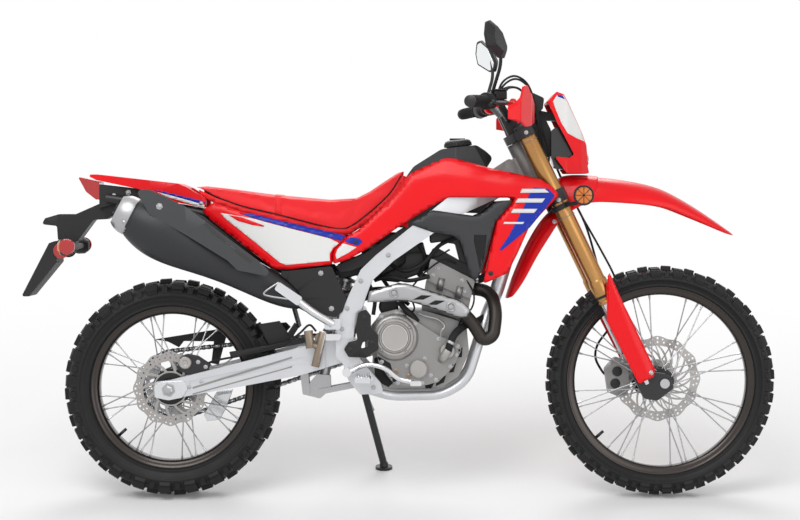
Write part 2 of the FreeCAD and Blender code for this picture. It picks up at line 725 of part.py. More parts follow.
def fuel_tank():
    """The tank between the shrouds, with its filler neck and screw cap."""
    side = slab([
        (594, 802, 8), (598, 827.7, 8), (660, 901.7, 12), (714, 973.7, 30), (794, 1024, 40),
        (898, 1037, 20), (925, 1020, 14),
        (948, 1000, 14),
        (930, 972, 16), (840, 900.9), (820, 888.6), (717, 806.6), (700, 793),
    ], -TANK_HALF, TANK_HALF)
    width = plan([
        (590, 58), (700, 96), (840, TANK_HALF), (930, 60), (960, 34), (960, -34), (930, -60), (840, -TANK_HALF),
        (700, -96), (590, -58),
    ], 780, 1080, 20.0)
    body = side.common(width)
    neck = turned([(0, -6), (34, -6), (34, 6), (38, 8), (38, 18), (30, 22), (0, 22)], V(846, 0, 1032), V(-0.1, 0, 1))
    return fused(body, neck)


def seat():
    """The long seat: narrow at the tank, widest where the rider sits, tapered at the tail."""
    side = slab([
        (56, 919), (176, 906), (303, 889), (470, 874), (546, 879), (584, 898), (674, 958), (690, 968),
        (686, 945), (649, 889), (582, 827), (519, 787), (448, 793), (322, 826), (210, 853), (135, 880), (90, 905),
    ], -SEAT_HALF, SEAT_HALF, 6.0)
    width = plan([
        (50, 70), (180, 92), (330, SEAT_HALF), (480, 104), (600, 76), (700, 62), (700, -62), (600, -76),
        (480, -104), (330, -SEAT_HALF), (180, -92), (50, -70),
    ], 760, 1000, 30.0)
    return side.common(width)


def bowed(side_points, outer, thickness, z_low, z_high, lean_in=0.0, radius=6.0):
    """A right-hand panel: a side outline bowed to the plan line outer, with an even wall."""
    inner = [(x, y + thickness) for x, y in reversed(outer)]
    y_all = [y for _, y in outer]
    tall = (z_high - z_low) * abs(lean_in)
    block = slab(side_points, min(y_all) - tall - 1, max(y_all) + thickness + tall + 1, radius)
    return block.common(plan(outer + inner, z_low, z_high, 0.0, lean_in))


def shroud_right():
    """The red shroud from the seat over the radiator to its forward point, open below its arm."""
    side = [
        (703, 953), (800, 1001), (822, 1001), (933, 970), (1050, 944), (1087, 934), (1117, 913), (1137, 890),
        (1051, 802), (1015, 721), (985, 663), (914, 630), (955, 814), (1013, 883), (816, 883), (759, 853),
        (675, 800), (568, 727), (525, 703), *reversed(SEAM), (551, 788), (578, 811), (610, 841), (637, 865),
        (664, 895), (686, 921),
    ]
    line = [(466, -146), (560, -139), (660, -134), (760, -136), (900, -152), (1010, -163), (1140, -167)]
    post = rod(V(742, -111, 928), V(742, -84, 928), 9).cut(fuel_tank())
    return bowed(side, line, PANEL, 600, 1020, 0.06, 8.0).fuse(post)


def inner_panel_right():
    """The dark frame-side panel below the shroud's arm."""
    side = [
        (700, 806), (770, 846), (893, 829), (916, 839), (955, 872), (1004, 876), (950, 812), (912, 668),
        (892, 640), (879, 657), (849, 757), (829, 772), (768, 782),
    ]
    flush = -SPAR_OUT - FIT - 3.5
    line = [(660, flush), (772, flush), (900, -140), (1010, -150)]
    return bowed(side, line, 3.5, 600, 900, 0.0, 6.0)


def side_cover_right():
    """The side cover below the seat, up to its seam with the shroud."""
    seam = [(x - SEAM_GAP, z) for x, z in SEAM]
    side = [
        (94, 846), (121, 816), (307, 676), (352, 674), *reversed(seam), (448, 785), (322, 817),
        (210, 843), (130, 869),
    ]
    line = [(90, -110), (220, -130), (360, -142), (480, -140), (590, -132)]
    posts = []
    for x, y, z in ((330, -131, 778), (200, -119, 811)):
        posts.append(rod(V(x, y, z), V(x, -SUBFRAME_HALF - SUBFRAME_R - FIT, z), 8))
    return fused(bowed(side, line, PANEL, 640, 900, 0.05, 8.0), *posts)


def tail_cover():
    """The pointed tail cover: a low roof over two side walls."""
    side = slab([
        (-255, 951), (-217, 951), (23, 924), (52, 912), (104, 880), (106, 852), (-4, 873), (-93, 908), (-220, 934),
    ], -100, 100, 6.0)
    width = plan([(-262, 46), (-60, 82), (110, 96), (110, -96), (-60, -82), (-262, -46)], 830, 970, 14.0)
    cover = side.common(width)
    hollow = slab([(-230, 925), (-60, 905), (130, 878), (130, 800), (-230, 800)], -60, 60)
    front = slab([(50, 830), (120, 830), (120, 960), (50, 920)], -62, 62)
    return cover.cut(Part.makeCompound([hollow, front]))


def lower_panels():
    side = [(475, 683), (519, 588), (508, 552), (488, 535), (443, 541), (385, 592), (318, 668), (352, 670)]
    flush = -SPAR_OUT - FIT
    return pair(slab(side, flush - 4, flush, 8.0).cut(muffler_body(5.0)))


def tail_bracket():
    """The under-tail body, the arm that carries the lamps and plate, the plate's backing and side reflectors."""
    under = slab([(-212.7, 922), (-70, 905.8), (-60, 872), (-150, 868), (-212.7, 852)], -47.7, 47.7)
    arm = slab([
        (-212, 866), (-157, 873), (-160, 837), (-195, 819), (-232, 817), (-278, 755), (-337, 757),
        (-340, 799), (-385, 804), (-375, 822), (-334, 834), (-284, 834),
    ], -34, 34, 6.0)
    plate = slab([(-359, 749), (-336, 757), (-336, 692), (-418, 592), (-440, 592)], -60, 60, 5.0)
    stalk = rod(V(-290, -104, 738), V(-290, 104, 738), 8)
    hook = slab([(-340, 757), (-285, 757), (-285, 728), (-340, 728)], -30, 30, 4.0)
    reflectors = [rod(V(-322, 60 * side, 727), V(-322, 68 * side, 727), 23) for side in (-1, 1)]
    bar = rod(V(-322, -60, 727), V(-322, 60, 727), 7)
    return fused(under, arm, plate, stalk, hook, bar, *reflectors)


def rear_mudguard():
    """The inner rear mudguard, an arched sheet from the tail to in front of the wheel."""
    top = [(-148, 862), (-60, 856), (60, 837 - FIT), (180, 770), (290, 690), (350, 600), (378, 500)]
    low = [(372, 498), (344, 596), (286, 684), (177, 763), (58, 829), (-62, 850), (-148, 855)]
    return slab(top + low, -56, 56, 0.0)


def tail_lamp():
    return slab([(-276, 944), (-213, 930), (-213, 877), (-223, 877), (-252, 900)], -46, 46, 3.0)


def round_lamp(x, z, y_in, y_out, radius):
    """A round lamp facing sideways, with a rim and a domed lens."""
    thick = y_out - y_in
    return turned_y([
        (0, y_in), (radius * 0.7, y_in), (radius, y_in + 0.5 * thick), (radius, y_out - 0.25 * thick),
        (radius - 4, y_out - 0.1 * thick), (0, y_out),
    ], x, z)


def rear_signals():
    """Round signals that face back, each on a boss at the end of the bracket's stalk."""
    lens = [(0, -4), (14, -2), (22, 4), (24, 10), (25, 16), (24, 34), (16, 46), (0, 50)]
    lamp = turned(lens, V(-318, -130, 738), V(1, 0, 0))
    boss = rod(V(-290, -104 - FIT, 738), V(-290, -120, 738), 9)
    return pair(lamp.fuse(boss))


def rear_shock():
    """The shock absorber: damper body, spring and lower eye."""
    top = V(SHOCK_TOP[0], 0, SHOCK_TOP[1])
    axis = V(SHOCK_FOOT[0], 0, SHOCK_FOOT[1]) - top
    length = axis.Length
    body = turned([
        (0, -12), (16, -12), (16, 30), (37, 34), (37, 42), (22, 44), (22, 150), (9, 152), (9, length - 70),
        (36, length - 70), (36, length - 60), (15, length - 54), (15, length + 12), (0, length + 12),
    ], top, axis)
    pitch, wire = 25.0, 4.5
    helix = Part.makeHelix(pitch, length - 70 - 42 - 2 * wire, 30.0)
    start = Part.Wire([Part.Circle(V(30, 0, 0), V(0, 1, 0), wire).toShape()])
    spring = Part.Wire(helix.Edges).makePipeShell([start], True, True)
    spring.Placement = FreeCAD.Placement(
        top + axis * ((42 + wire + FIT) / length), FreeCAD.Rotation(V(0, 0, 1), axis)
    )
    return Part.makeCompound([body, spring])


def shock_linkage():
    """The rocker at the shock's foot, its hangers from the swingarm and its pull rods to the frame."""
    x, z = SHOCK_FOOT
    rocker = slab([
        (x - 18, z + 14), (x + 20, z + 12), (x + 22, z - 30), (x - 10, z - 58), (x - 58, z - 46), (x - 50, z - 22),
    ], -24, -15 - FIT, 8.0)
    hanger = slab([(386, 300), (408, 300), (400, 385 - FIT), (376, 385 - FIT)], -32, -24, 6.0)
    rod_end = LOW_BAR[0] - LOW_BAR_R - FIT
    pull = slab([(x - 12, 300), (rod_end, 322), (rod_end, 338), (x - 14, 316)], -32, -24)
    pins = [rod(V(px, -32, pz), V(px, 32, pz), 7) for px, pz in ((396, 310), (x - 4, 306))]
    half = [rocker, hanger, pull]
    return fused(*half, *[mirrored(s) for s in half], *pins)


def radiator():
    """The single radiator on the left, behind its shroud."""
    core = slab([(930, 660), (985, 640), (1024, 800), (968, 816)], 78, 118, 6.0)
    stays = [rod(V(x, 79, z), V(x, DOWN_TUBE_R + FIT, z), 7) for x, z in ((1000, 735), (983, 680))]
    return fused(core, *stays)


def disc_slot(centre, y, radius):
    """The room a brake disc turns in, inside its caliper."""
    half = DISC_THICK / 2 + DISC_GAP
    return turned_y([(20, y - half), (radius + 6, y - half), (radius + 6, y + half), (20, y + half)], *centre)


def rear_caliper():
    y = REAR_DISC_Y + DISC_THICK / 2
    body = slab([(60, 330), (70, 392), (112, 400), (130, 372), (120, 330), (96, 318)], y - 22 + FIT, y + 18, 10.0)
    gap = disc_slot(REAR_AXLE, y, REAR_DISC_R)
    bracket_side = [(-26, 298), (-26, 346), (64, 356), (84, 334), (40, 298)]
    bracket = slab(bracket_side, y - 22 + FIT, y - DISC_GAP - DISC_THICK / 2, 8.0)
    bracket = bracket.cut(rod(V(0, -200, REAR_AXLE[1]), V(0, 0, REAR_AXLE[1]), REAR_COLLAR_R + FIT))
    return fused(body.cut(gap), bracket.cut(gap))


def footpegs():
    """The rider's pegs on their brackets, and the passenger's pegs folded up on their stays."""
    plate = -SPAR_OUT + 4 - FIT
    hanger = slab([(544, 350), (598, 350), (590, 374), (550, 374)], -142, plate, 5.0)
    peg = slab([(545, 352), (590, 352), (590, 368), (545, 368)], -238, -141, 5.0)
    teeth = [slab([(548 + 7 * i, 367), (553 + 7 * i, 367), (551 + 7 * i, 373)], -234, -148) for i in range(6)]
    rider = fused(hanger, peg, *teeth)
    mount = slab([(455, 500), (502, 500), (502, 531), (455, 531)], -148, -SPAR_OUT - FIT, 6.0)
    stay = bent_tube([V(480, -146, 516), V(430, -150, 545), V(392, -162, 574), V(372, -168, 592)], 12)
    passenger = slab([(312, 618), (326, 640), (394, 594), (380, 570)], -184, -160, 6.0)
    back = fused(mount, stay, passenger)
    return Part.makeCompound([rider, mirrored(rider), back, mirrored(back)])


def brake_pedal():
    """The rear brake pedal on the right."""
    arm = bent_tube([V(520, -150, 372), V(575, -156, 402), V(630, -162, 392), V(672, -170, 356), V(722, -176, 350)], 7)
    tread = slab([(704, 342), (736, 342), (736, 356), (704, 356)], -214, -176, 4.0)
    boss = rod(V(520, -SPAR_OUT + 4 - FIT, 376), V(520, -160, 376), 13)
    return fused(arm, tread, boss)


def master_cylinder():
    """The rear brake's cylinder, its reservoir and its bracket on the pivot plate."""
    plate = -SPAR_OUT - FIT
    body = rod(V(452, -140, 492), V(428, -140, 392), 12)
    cup = rod(V(414, -140, 446), V(408, -140, 496), 13)
    joint = rod(V(440, -140, 446), V(414, -140, 458), 8)
    bracket = slab([(425, 466), (500, 468), (504, 486), (430, 486)], plate - 8, plate, 5.0)
    return fused(body, cup, joint, bracket)


def gear_lever():
    arm = bent_tube([V(640, COVER_OUT + 4, 392), V(690, 150, 378), V(740, 162, 366)], 6)
    toe = rod(V(738, 158, 366), V(738, 196, 366), 9)
    shaft = rod(V(640, COVER_OUT + 10, 392), V(640, CASE_HALF + 1, 392), 9)
    return fused(arm, toe, shaft)


# Steering


def triple_clamps():
    """The lower and upper fork clamps, the stem and the handlebar posts."""
    reach = FORK_HALF + FORK_TUBE_R + 8
    lower = [(-30, 26), (-6, reach - 24), (20, reach), (52, reach), (UPPER_REACH, reach - 30), (48, 40), (40, 0)]
    shape = lower + [(u, -y) for u, y in reversed(lower[:-1])]
    low = plan(shape, LOWER_CLAMP[0], LOWER_CLAMP[1], 12.0)
    high = plan(shape, UPPER_CLAMP[0], UPPER_CLAMP[1], 12.0)
    stem = Part.makeCylinder(STEM_R, UPPER_CLAMP[1] - LOWER_CLAMP[0] + 8, V(0, 0, LOWER_CLAMP[0]), V(0, 0, 1))
    nut = Part.makeCylinder(20, 12, V(0, 0, UPPER_CLAMP[1]), V(0, 0, 1))
    posts = []
    for y in (-44, 44):
        foot, top = UPPER_CLAMP[1] - 2, BAR_W + 18
        face = [(y - 15, foot), (y + 15, foot), (y + 15, top), (y - 15, top)]
        post = across(face, BAR_U - 20, BAR_U + 20, 4.0)
        posts.append(post)
    body = fused(low, high, stem, nut, *posts)
    holes = []
    for y in (-FORK_HALF, FORK_HALF):
        foot = V(CLAMP_OFFSET, y, LOWER_CLAMP[0] - 20)
        holes.append(Part.makeCylinder(FORK_TUBE_R + FIT / 3, 400, foot, V(0, 0, 1)))
    holes.append(rod(V(BAR_U, -80, BAR_W), V(BAR_U, 80, BAR_W), BAR_R + FIT / 3))
    return on_fork(body.cut(Part.makeCompound(holes)))


def fork_tubes():
    """The gold outer tubes of the upside-down fork."""
    tube = turned([
        (FORK_INNER_R + FIT, FORK_TUBE_LOW), (FORK_TUBE_R + 2, FORK_TUBE_LOW), (FORK_TUBE_R + 2, FORK_TUBE_LOW + 42),
        (FORK_TUBE_R - 1, FORK_TUBE_LOW + 50), (FORK_TUBE_R - 1, 590), (FORK_TUBE_R, 600),
        (FORK_TUBE_R, FORK_TUBE_TOP), (0, FORK_TUBE_TOP), (0, FORK_TUBE_TOP - 30),
        (FORK_INNER_R + FIT, FORK_TUBE_TOP - 30),
    ], V(CLAMP_OFFSET, -FORK_HALF, 0), V(0, 0, 1))
    return pair(on_fork(tube))


def fork_legs():
    """The bright inner tubes with the axle holders ahead of them."""
    tube = Part.makeCylinder(FORK_INNER_R, 470 - AXLE_W, V(CLAMP_OFFSET, -FORK_HALF, AXLE_W + 20), V(0, 0, 1))
    holder = slab([
        (CLAMP_OFFSET - 27, 70), (CLAMP_OFFSET - 27, -14), (CLAMP_OFFSET + 4, -36), (AXLE_OFFSET + 18, -24),
        (AXLE_OFFSET + 26, 6), (AXLE_OFFSET + 14, 24), (CLAMP_OFFSET + 27, 46), (CLAMP_OFFSET + 27, 70),
    ], -FORK_HALF - 20, -FORK_HALF + 20, 10.0)
    holder.translate(V(0, 0, AXLE_W))
    bore = rod(V(AXLE_OFFSET, -200, AXLE_W), V(AXLE_OFFSET, 200, AXLE_W), AXLE_R + FIT / 3)
    return pair(on_fork(fused(tube, holder).cut(bore)))


def fork_guards():
    """The red guards that wrap the front and outside of each lower leg."""
    side = [(1274, 663), (1275, 523), (1368, 341), (1412, 362), (1414, 385), (1335, 552)]
    wrap = slab(side, -134, -74, 8.0)
    cut_side = [(1262, 690), (1268, 523), (1362, 336), (1380, 300), (1408, 362), (1409, 384), (1330, 551), (1277, 652)]
    inner = slab(cut_side, -130, -60, 6.0)
    return pair(wrap.cut(inner).cut(fork_legs()))


def front_mudguard():
    """The high front mudguard: a long arched beak over the wheel, bent down behind it."""
    roof = slab([
        (1122, 872), (1137, 936), (1166, 947), (1233, 945), (1345, 933), (1432, 918), (1486, 889), (1662, 772),
        (1621, 783), (1497, 840), (1456, 857), (1394, 865), (1237, 873), (1205, 862), (1176, 846),
    ], -74, 74, 8.0)
    hollow = slab([
        (1160, 830), (1176, 905), (1345, 905), (1428, 890), (1478, 862), (1640, 752), (1500, 780), (1200, 800),
    ], -60, 60, 8.0)
    width = plan([
        (1110, 52), (1200, 60), (1420, 72), (1560, 56), (1668, 20), (1668, -20), (1560, -56), (1420, -72),
        (1200, -60), (1110, -52),
    ], 560, 980, 20.0)
    apron = slab([
        (1106, 868), (1186, 900), (1190, 858), (1140, 800), (1127, 780), (1072, 690), (1030, 606), (998, 582),
        (1024, 668), (1066, 790),
    ], -58, 58, 6.0)
    clamp_room = Part.makeBox(200, 300, 200, V(UPPER_REACH + 2 - 200, -150, LOWER_CLAMP[0] - FIT))
    return fused(roof.cut(hollow).common(width), apron).cut(on_fork(clamp_room))


def headlamp():
    """The headlamp body and its lens, behind the mask."""
    return slab([
        (1120, 1000), (1120, 1080), (1132, 1090), (1172, 1086), (1203, 1040), (1214, 990), (1196, 964), (1130, 968),
    ], -42, 42, 10.0)


def headlamp_cowl():
    """The number-plate style mask around the headlamp."""
    side = slab([
        (1132, 1193), (1153, 1185), (1168, 1158), (1209, 1071), (1229, 1022), (1231, 989), (1227, 976), (1232, 954),
        (1163, 954), (1126, 1003), (1170, 999), (1184, 1010), (1136, 1098), (1106, 1164),
    ], -96, 96, 4.0)
    face = [(1100, 96), (1160, 92), (1206, 70), (1236, 36), (1236, -36), (1206, -70), (1160, -92), (1100, -96)]
    inner = [(1090, 90), (1158, 87), (1202, 66), (1228, 34), (1228, -34), (1202, -66), (1158, -87), (1090, -90)]
    body = side.common(plan(face, 940, 1210, 14.0))
    hollow = plan(inner, 930, 1160, 14.0)
    window = across([(-46, 985), (46, 985), (52, 1050), (38, 1066), (-38, 1066), (-52, 1050)], 1150, 1260, 8.0)
    return body.cut(Part.makeCompound([hollow, window]))


def handlebar():
    """The one-piece handlebar: thick between the clamps, thinner out to the grips."""
    centre = fork_point(BAR_U, 0, BAR_W)
    wide, knee, end = 84.0, BAR_KNEE, BAR_END
    right = [V(end[0], -end[1], end[2]), V(knee[0], -knee[1], knee[2]), centre - V(0, wide, 0)]
    left = [V(p.x, -p.y, p.z) for p in reversed(right)]
    tube = bent_tube(right + left, BAR_END_R, 70.0)
    middle = rod(centre - V(0, wide - 20, 0), centre + V(0, wide - 20, 0), BAR_R)
    return tube.fuse(middle)


def bar_spot(distance):
    """The right-hand bar's point at a distance in from its end, and its inward direction."""
    end = V(BAR_END[0], -BAR_END[1], BAR_END[2])
    inward = V(BAR_KNEE[0], -BAR_KNEE[1], BAR_KNEE[2]) - end
    inward.normalize()
    return end + inward * distance, inward


def grips():
    """The rubber grips with their flanged inner ends."""
    bore = BAR_END_R + FIT / 3
    end, inward = bar_spot(0)
    grip = turned([
        (0, -5), (16, -5), (16, GRIP_LENGTH - 8), (23, GRIP_LENGTH - 6), (23, GRIP_LENGTH), (bore, GRIP_LENGTH),
        (bore, -FIT), (0, -FIT),
    ], end, inward)
    return pair(grip)


def switchgear():
    """The lever perches, switch housings and the two levers."""
    bore = BAR_END_R + FIT / 3
    start, inward = bar_spot(GRIP_LENGTH + FIT)
    housing = turned([(bore, 0), (22, 0), (24, 5), (24, 32), (17, 36), (17, 58), (bore, 58)], start, inward)
    perch_at, inward = bar_spot(GRIP_LENGTH + 46)
    perch = rod(perch_at + V(4, -2, -1), perch_at + V(34, -6, -6), 10)
    perch = perch.cut(rod(perch_at - inward * 60, perch_at + inward * 60, bore))
    pivot = perch_at + V(30, -4, -6)
    tip, inward = bar_spot(6)
    lever = bent_tube([pivot, pivot + V(12, -36, -2), perch_at + V(18, -84, -8), tip + V(52, 4, -10)], 5.5)
    return pair(fused(housing, perch, lever))


def handguards():
    """The red guards ahead of the grips, on arms clamped to the bar."""
    front = across([
        (-402, 1104), (-402, 1120), (-384, 1146), (-364, 1192), (-346, 1198), (-326, 1176), (-256, 1150),
        (-196, 1140),
        (-200, 1104), (-290, 1090), (-350, 1080),
    ], 960, 1080, 12.0)
    outer = [(975, -400), (1012, -384), (1046, -320), (1058, -250), (1046, -190)]
    inner = [(1040, -190), (1052, -250), (1041, -318), (1009, -378), (975, -392)]
    shell = front.common(plan(outer + inner, 1060, 1230, 10.0))
    at, inward = bar_spot(GRIP_LENGTH + 80)
    ring = rod(at - inward * 7, at + inward * 7, 18)
    arm = rod(at, V(1045, -212, 1142), 7)
    bore = rod(at - inward * 30, at + inward * 30, BAR_END_R + FIT / 3)
    return pair(fused(shell, arm, ring).cut(bore))


def mirrors():
    """Five-sided mirrors, turned in towards the rider, on bent stems that stand on the lever perches."""
    at, inward = bar_spot(GRIP_LENGTH + 46)
    foot = at + V(0, 0, 12)
    stem = bent_tube([foot, foot + V(6, -14, 26), V(962, -284, 1262), V(956, -298, 1318)], 5)
    shape = [(34, -50), (56, -42), (64, -4), (50, 30), (-28, 46), (-58, 40), (-62, 16), (-18, -32)]
    back = [
        outline([(x * size, y * size) for x, y in shape], 12 * size, "xy", h)
        for h, size in ((0, 0.97), (8, 1.0), (24, 0.66))
    ]
    head = Part.makeLoft(back, True, True)
    turn = FreeCAD.Rotation(V(-0.45, -0.86, 0.16), V(0, 0, 0), V(1, -0.52, 0.1), "ZXY")
    head.Placement = FreeCAD.Placement(V(938, -322, 1324), turn)
    return pair(fused(stem, head).cut(rod(at - inward * 40, at + inward * 40, 17 + FIT)))


def instrument_panel():
    """The meter on the bracket that also carries the headlamp."""
    shell = slab([(1036, 1164), (1050, 1198), (1098, 1176), (1094, 1142), (1060, 1128)], -58, 58, 8.0)
    bracket = slab([
        (1040, 1060), (1056, 1132), (1090, 1144), (1120 - FIT, 1084), (1120 - FIT, 1004), (1098, 1000),
    ], -26, 26, 6.0)
    arm = slab([(1090, 1140), (1148, 1128), (1148, 1110), (1096, 1112)], -26, 26)
    strut = rod(V(1142, -COWL_STRUT, 1120), V(1142, COWL_STRUT, 1120), 6)
    cleared = Part.makeBox(140, 120, 110, V(45.5 - 140, -60, UPPER_CLAMP[0] - 60))
    return fused(shell, bracket, arm, strut).cut(on_fork(cleared))


def front_signals():
    """Round amber side lamps on bent stalks that are clamped round the fork tubes."""
    lamp = round_lamp(1203, 889, -176, -196, 29)
    ring_w = LOWER_CLAMP[0] - 22
    ring = on_fork(turned([
        (FORK_TUBE_R + FIT / 3, ring_w), (FORK_TUBE_R + 5, ring_w), (FORK_TUBE_R + 5, ring_w + 16),
        (FORK_TUBE_R + FIT / 3, ring_w + 16),
    ], V(CLAMP_OFFSET, -FORK_HALF, 0), V(0, 0, 1)))
    start = fork_point(CLAMP_OFFSET + 14, -FORK_HALF - FORK_TUBE_R - 1, ring_w + 8)
    stalk = bent_tube([start, start + V(14, -16, 2), V(1190, -160, 868), V(1203, -180, 889)], 6)
    return pair(fused(lamp, stalk, ring).cut(fork_tubes()))


def front_caliper():
    """The front brake caliper, astride the disc behind the left leg."""
    y = FRONT_DISC_Y + DISC_THICK / 2
    cx, cz = FRONT_AXLE
    body = slab([
        (cx - 150, cz - 40), (cx - 160, cz + 30), (cx - 128, cz + 66), (cx - 92, cz + 52), (cx - 84, cz - 30),
        (cx - 110, cz - 56),
    ], y - 20, y + 24, 12.0)
    carrier_side = [(cx - 110, cz - 14), (cx - 56, cz), (cx - 60, cz + 40), (cx - 104, cz + 50)]
    carrier = slab(carrier_side, y + 8, FORK_HALF - 20 - FIT, 6.0)
    return fused(body, carrier).cut(disc_slot(FRONT_AXLE, y, FRONT_DISC_R)).cut(fork_legs())


# Side stand


def ground_normal():
    lean = math.radians(LEAN)
    return V(0, -math.sin(lean), math.cos(lean))


def stand_foot_point():
    """Where the stand's foot meets the ground, in the upright drawing."""
    along_ground = V(0, math.cos(math.radians(LEAN)), math.sin(math.radians(LEAN)))
    return V(STAND_FOOT_X, 0, 0) + along_ground * STAND_FOOT_Y - ground_normal() * CONTACT_DROP


def stand_lines():
    """The stand's pivot, its direction to the foot and the axis that it folds about."""
    pivot = V(*STAND_PIVOT)
    along = stand_foot_point() - pivot
    along.normalize()
    axis = along.cross(STAND_FOLDED)
    axis.normalize()
    return pivot, along, axis


def side_stand():
    """The stand's leg, its pivot lug and its flat foot."""
    pivot, along, axis = stand_lines()
    foot = stand_foot_point()
    up = ground_normal()
    lug = rod(pivot - axis * 5, pivot + axis * 5, 17)
    blade = Part.makeBox(44, 22, 10, V(0, -11, -5))
    blade.Placement = FreeCAD.Placement(pivot, FreeCAD.Rotation(along, V(0, 0, 0), axis, "XZY"))
    leg = rod(pivot + along * 34, foot + up * 14, STAND_R)
    pad = Part.makeCylinder(26, 8, foot, up)
    ankle = rod(foot + up * 7, foot + up * 20, 13)
    body = fused(lug, blade, leg, pad, ankle)
    return body.cut(rod(pivot - axis * 40, pivot + axis * 40, STAND_PIN_R + RUNNING))


def stand_bracket():
    """The bracket and pin on the left plate that the stand turns on."""
    pivot, along, axis = stand_lines()
    pin = rod(pivot - axis * 8, pivot + axis * 11, STAND_PIN_R)
    nut = rod(pivot + axis * 5.6, pivot + axis * 11, 11)
    block = rod(pivot - axis * 34, pivot - axis * 5.6, 17)
    inside = Part.makeBox(80, 60, 80, V(STAND_PIVOT[0] - 40, SPAR_OUT - 4 + FIT - 60, STAND_PIVOT[2] - 50))
    return fused(pin, nut, block).cut(inside)


def front_brake_disc():
    return slotted_disc(FRONT_AXLE, FRONT_DISC_Y, FRONT_DISC_R, 100.0, FRONT_HUB_R + FIT)


def rear_brake_disc():
    return slotted_disc(REAR_AXLE, REAR_DISC_Y, REAR_DISC_R, 84.0, REAR_HUB_R + FIT)


def build():
    """Every named piece, upright."""
    front_axle = axle(
        FRONT_AXLE, FORK_HALF + 20 + FIT, 14.0, FRONT_COLLAR_R, FRONT_HUB_RIGHT, FRONT_HUB_LEFT, FORK_HALF - 20
    )
    rear_axle = axle(
        REAR_AXLE, ARM_OUT + FIT, 17.0, REAR_COLLAR_R, REAR_HUB_RIGHT, REAR_HUB_LEFT, ARM_IN
    )
    return {
        "main_frame": main_frame().fuse(stand_bracket()),
        "subframe": subframe(),
        "swingarm": swingarm(),
        "pivot_bolt": pivot_bolt(),
        "rear_axle": rear_axle,
        "crankcase": crankcase(),
        "engine_covers": Part.makeCompound([clutch_cover(), sprocket_cover()]),
        "frame_guard": frame_guard(),
        "cylinder": cylinder(),
        "exhaust_header": exhaust_header(),
        "muffler": Part.makeCompound([muffler_body(), muffler_cap()]),
        "heat_shields": heat_shields(),
        "fuel_tank": fuel_tank(),
        "seat": seat(),
        "shrouds": pair(shroud_right()),
        "inner_panels": Part.makeCompound([pair(inner_panel_right()), lower_panels()]),
        "side_covers": pair(side_cover_right()),
        "tail_cover": tail_cover(),
        "tail_bracket": tail_bracket(),
        "rear_mudguard": rear_mudguard(),
        "tail_lamp": tail_lamp(),
        "rear_signals": rear_signals(),
        "rear_shock": Part.makeCompound([rear_shock(), shock_linkage()]),
        "radiator": radiator(),
        "chain": chain(),
        "rear_caliper": rear_caliper(),
        "footpegs": footpegs(),
        "brake_pedal": Part.makeCompound([brake_pedal(), master_cylinder()]),
        "gear_lever": gear_lever(),
        "triple_clamps": triple_clamps(),
        "fork_tubes": fork_tubes(),
        "fork_legs": fork_legs(),
        "fork_guards": fork_guards(),
        "front_mudguard": front_mudguard(),
        "headlamp": headlamp(),
        "headlamp_cowl": headlamp_cowl(),
        "handlebar": handlebar(),
        "grips": grips(),
        "switchgear": switchgear(),
        "handguards": handguards(),
        "mirrors": mirrors(),
        "instrument_panel": instrument_panel(),
        "front_signals": front_signals(),
        "front_caliper": front_caliper(),
        "front_axle": front_axle,
        "front_tyre": knobbed_tyre(FRONT_AXLE, FRONT_TYRE_R, FRONT_TYRE_W, FRONT_RIM_R, FRONT_RIM_W, FRONT_PITCHES),
        "front_rim": rim(FRONT_AXLE, FRONT_RIM_R, FRONT_RIM_W),
        "front_hub": spoked_hub(
            FRONT_AXLE, FRONT_HUB_HALF, 38.0, FRONT_HUB_R, FRONT_RIM_R, FRONT_HUB_RIGHT, FRONT_HUB_LEFT
        ),
        "front_disc": front_brake_disc(),
        "rear_tyre": knobbed_tyre(REAR_AXLE, REAR_TYRE_R, REAR_TYRE_W, REAR_RIM_R, REAR_RIM_W, REAR_PITCHES),
        "rear_rim": rim(REAR_AXLE, REAR_RIM_R, REAR_RIM_W),
        "rear_hub": spoked_hub(REAR_AXLE, REAR_HUB_HALF, 56.0, REAR_HUB_R, REAR_RIM_R, REAR_HUB_RIGHT, REAR_HUB_LEFT),
        "rear_disc": rear_brake_disc(),
        "rear_sprocket": sprocket(REAR_AXLE, REAR_TEETH, REAR_HUB_R + FIT, 6),
        "side_stand": side_stand(),
    }


def leaned(shape):
    """The shape turned about the tyres' line of contact onto the side stand."""
    placed = shape.copy()
    placed.rotate(V(0, 0, 0), V(1, 0, 0), -LEAN)
    return placed


def floor_shift(parts):
    """The move that puts the whole machine's box centre over the origin, and its lowest point on the floor."""
    box = FreeCAD.BoundBox()
    for shape in parts.values():
        box.add(shape.optimalBoundingBox(True, False))
    return V(-(box.XMin + box.XMax) / 2, -(box.YMin + box.YMax) / 2, -box.ZMin)


def main():
    os.makedirs("parts", exist_ok=True)
    parts = {name: leaned(shape) for name, shape in build().items()}
    shift = floor_shift(parts)
    print("shift from the upright drawing's origin, after leaning:", [round(c, 3) for c in shift])
    for name, shape in parts.items():
        shape.translate(shift)
        shape.exportStep(f"parts/{name}.step")


if __name__ == "__main__":
    main()
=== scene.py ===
"""Looks for the dual sport motorcycle. Shapes are drawn upright in millimetres, X forward from the rear axle,
Y to the left, Z up, and are placed on the leaned frame by one matrix taken from its wheel joints."""

import json
import math

import bmesh
import bpy
from mathutils import Matrix, Vector
from mathutils.bvhtree import BVHTree


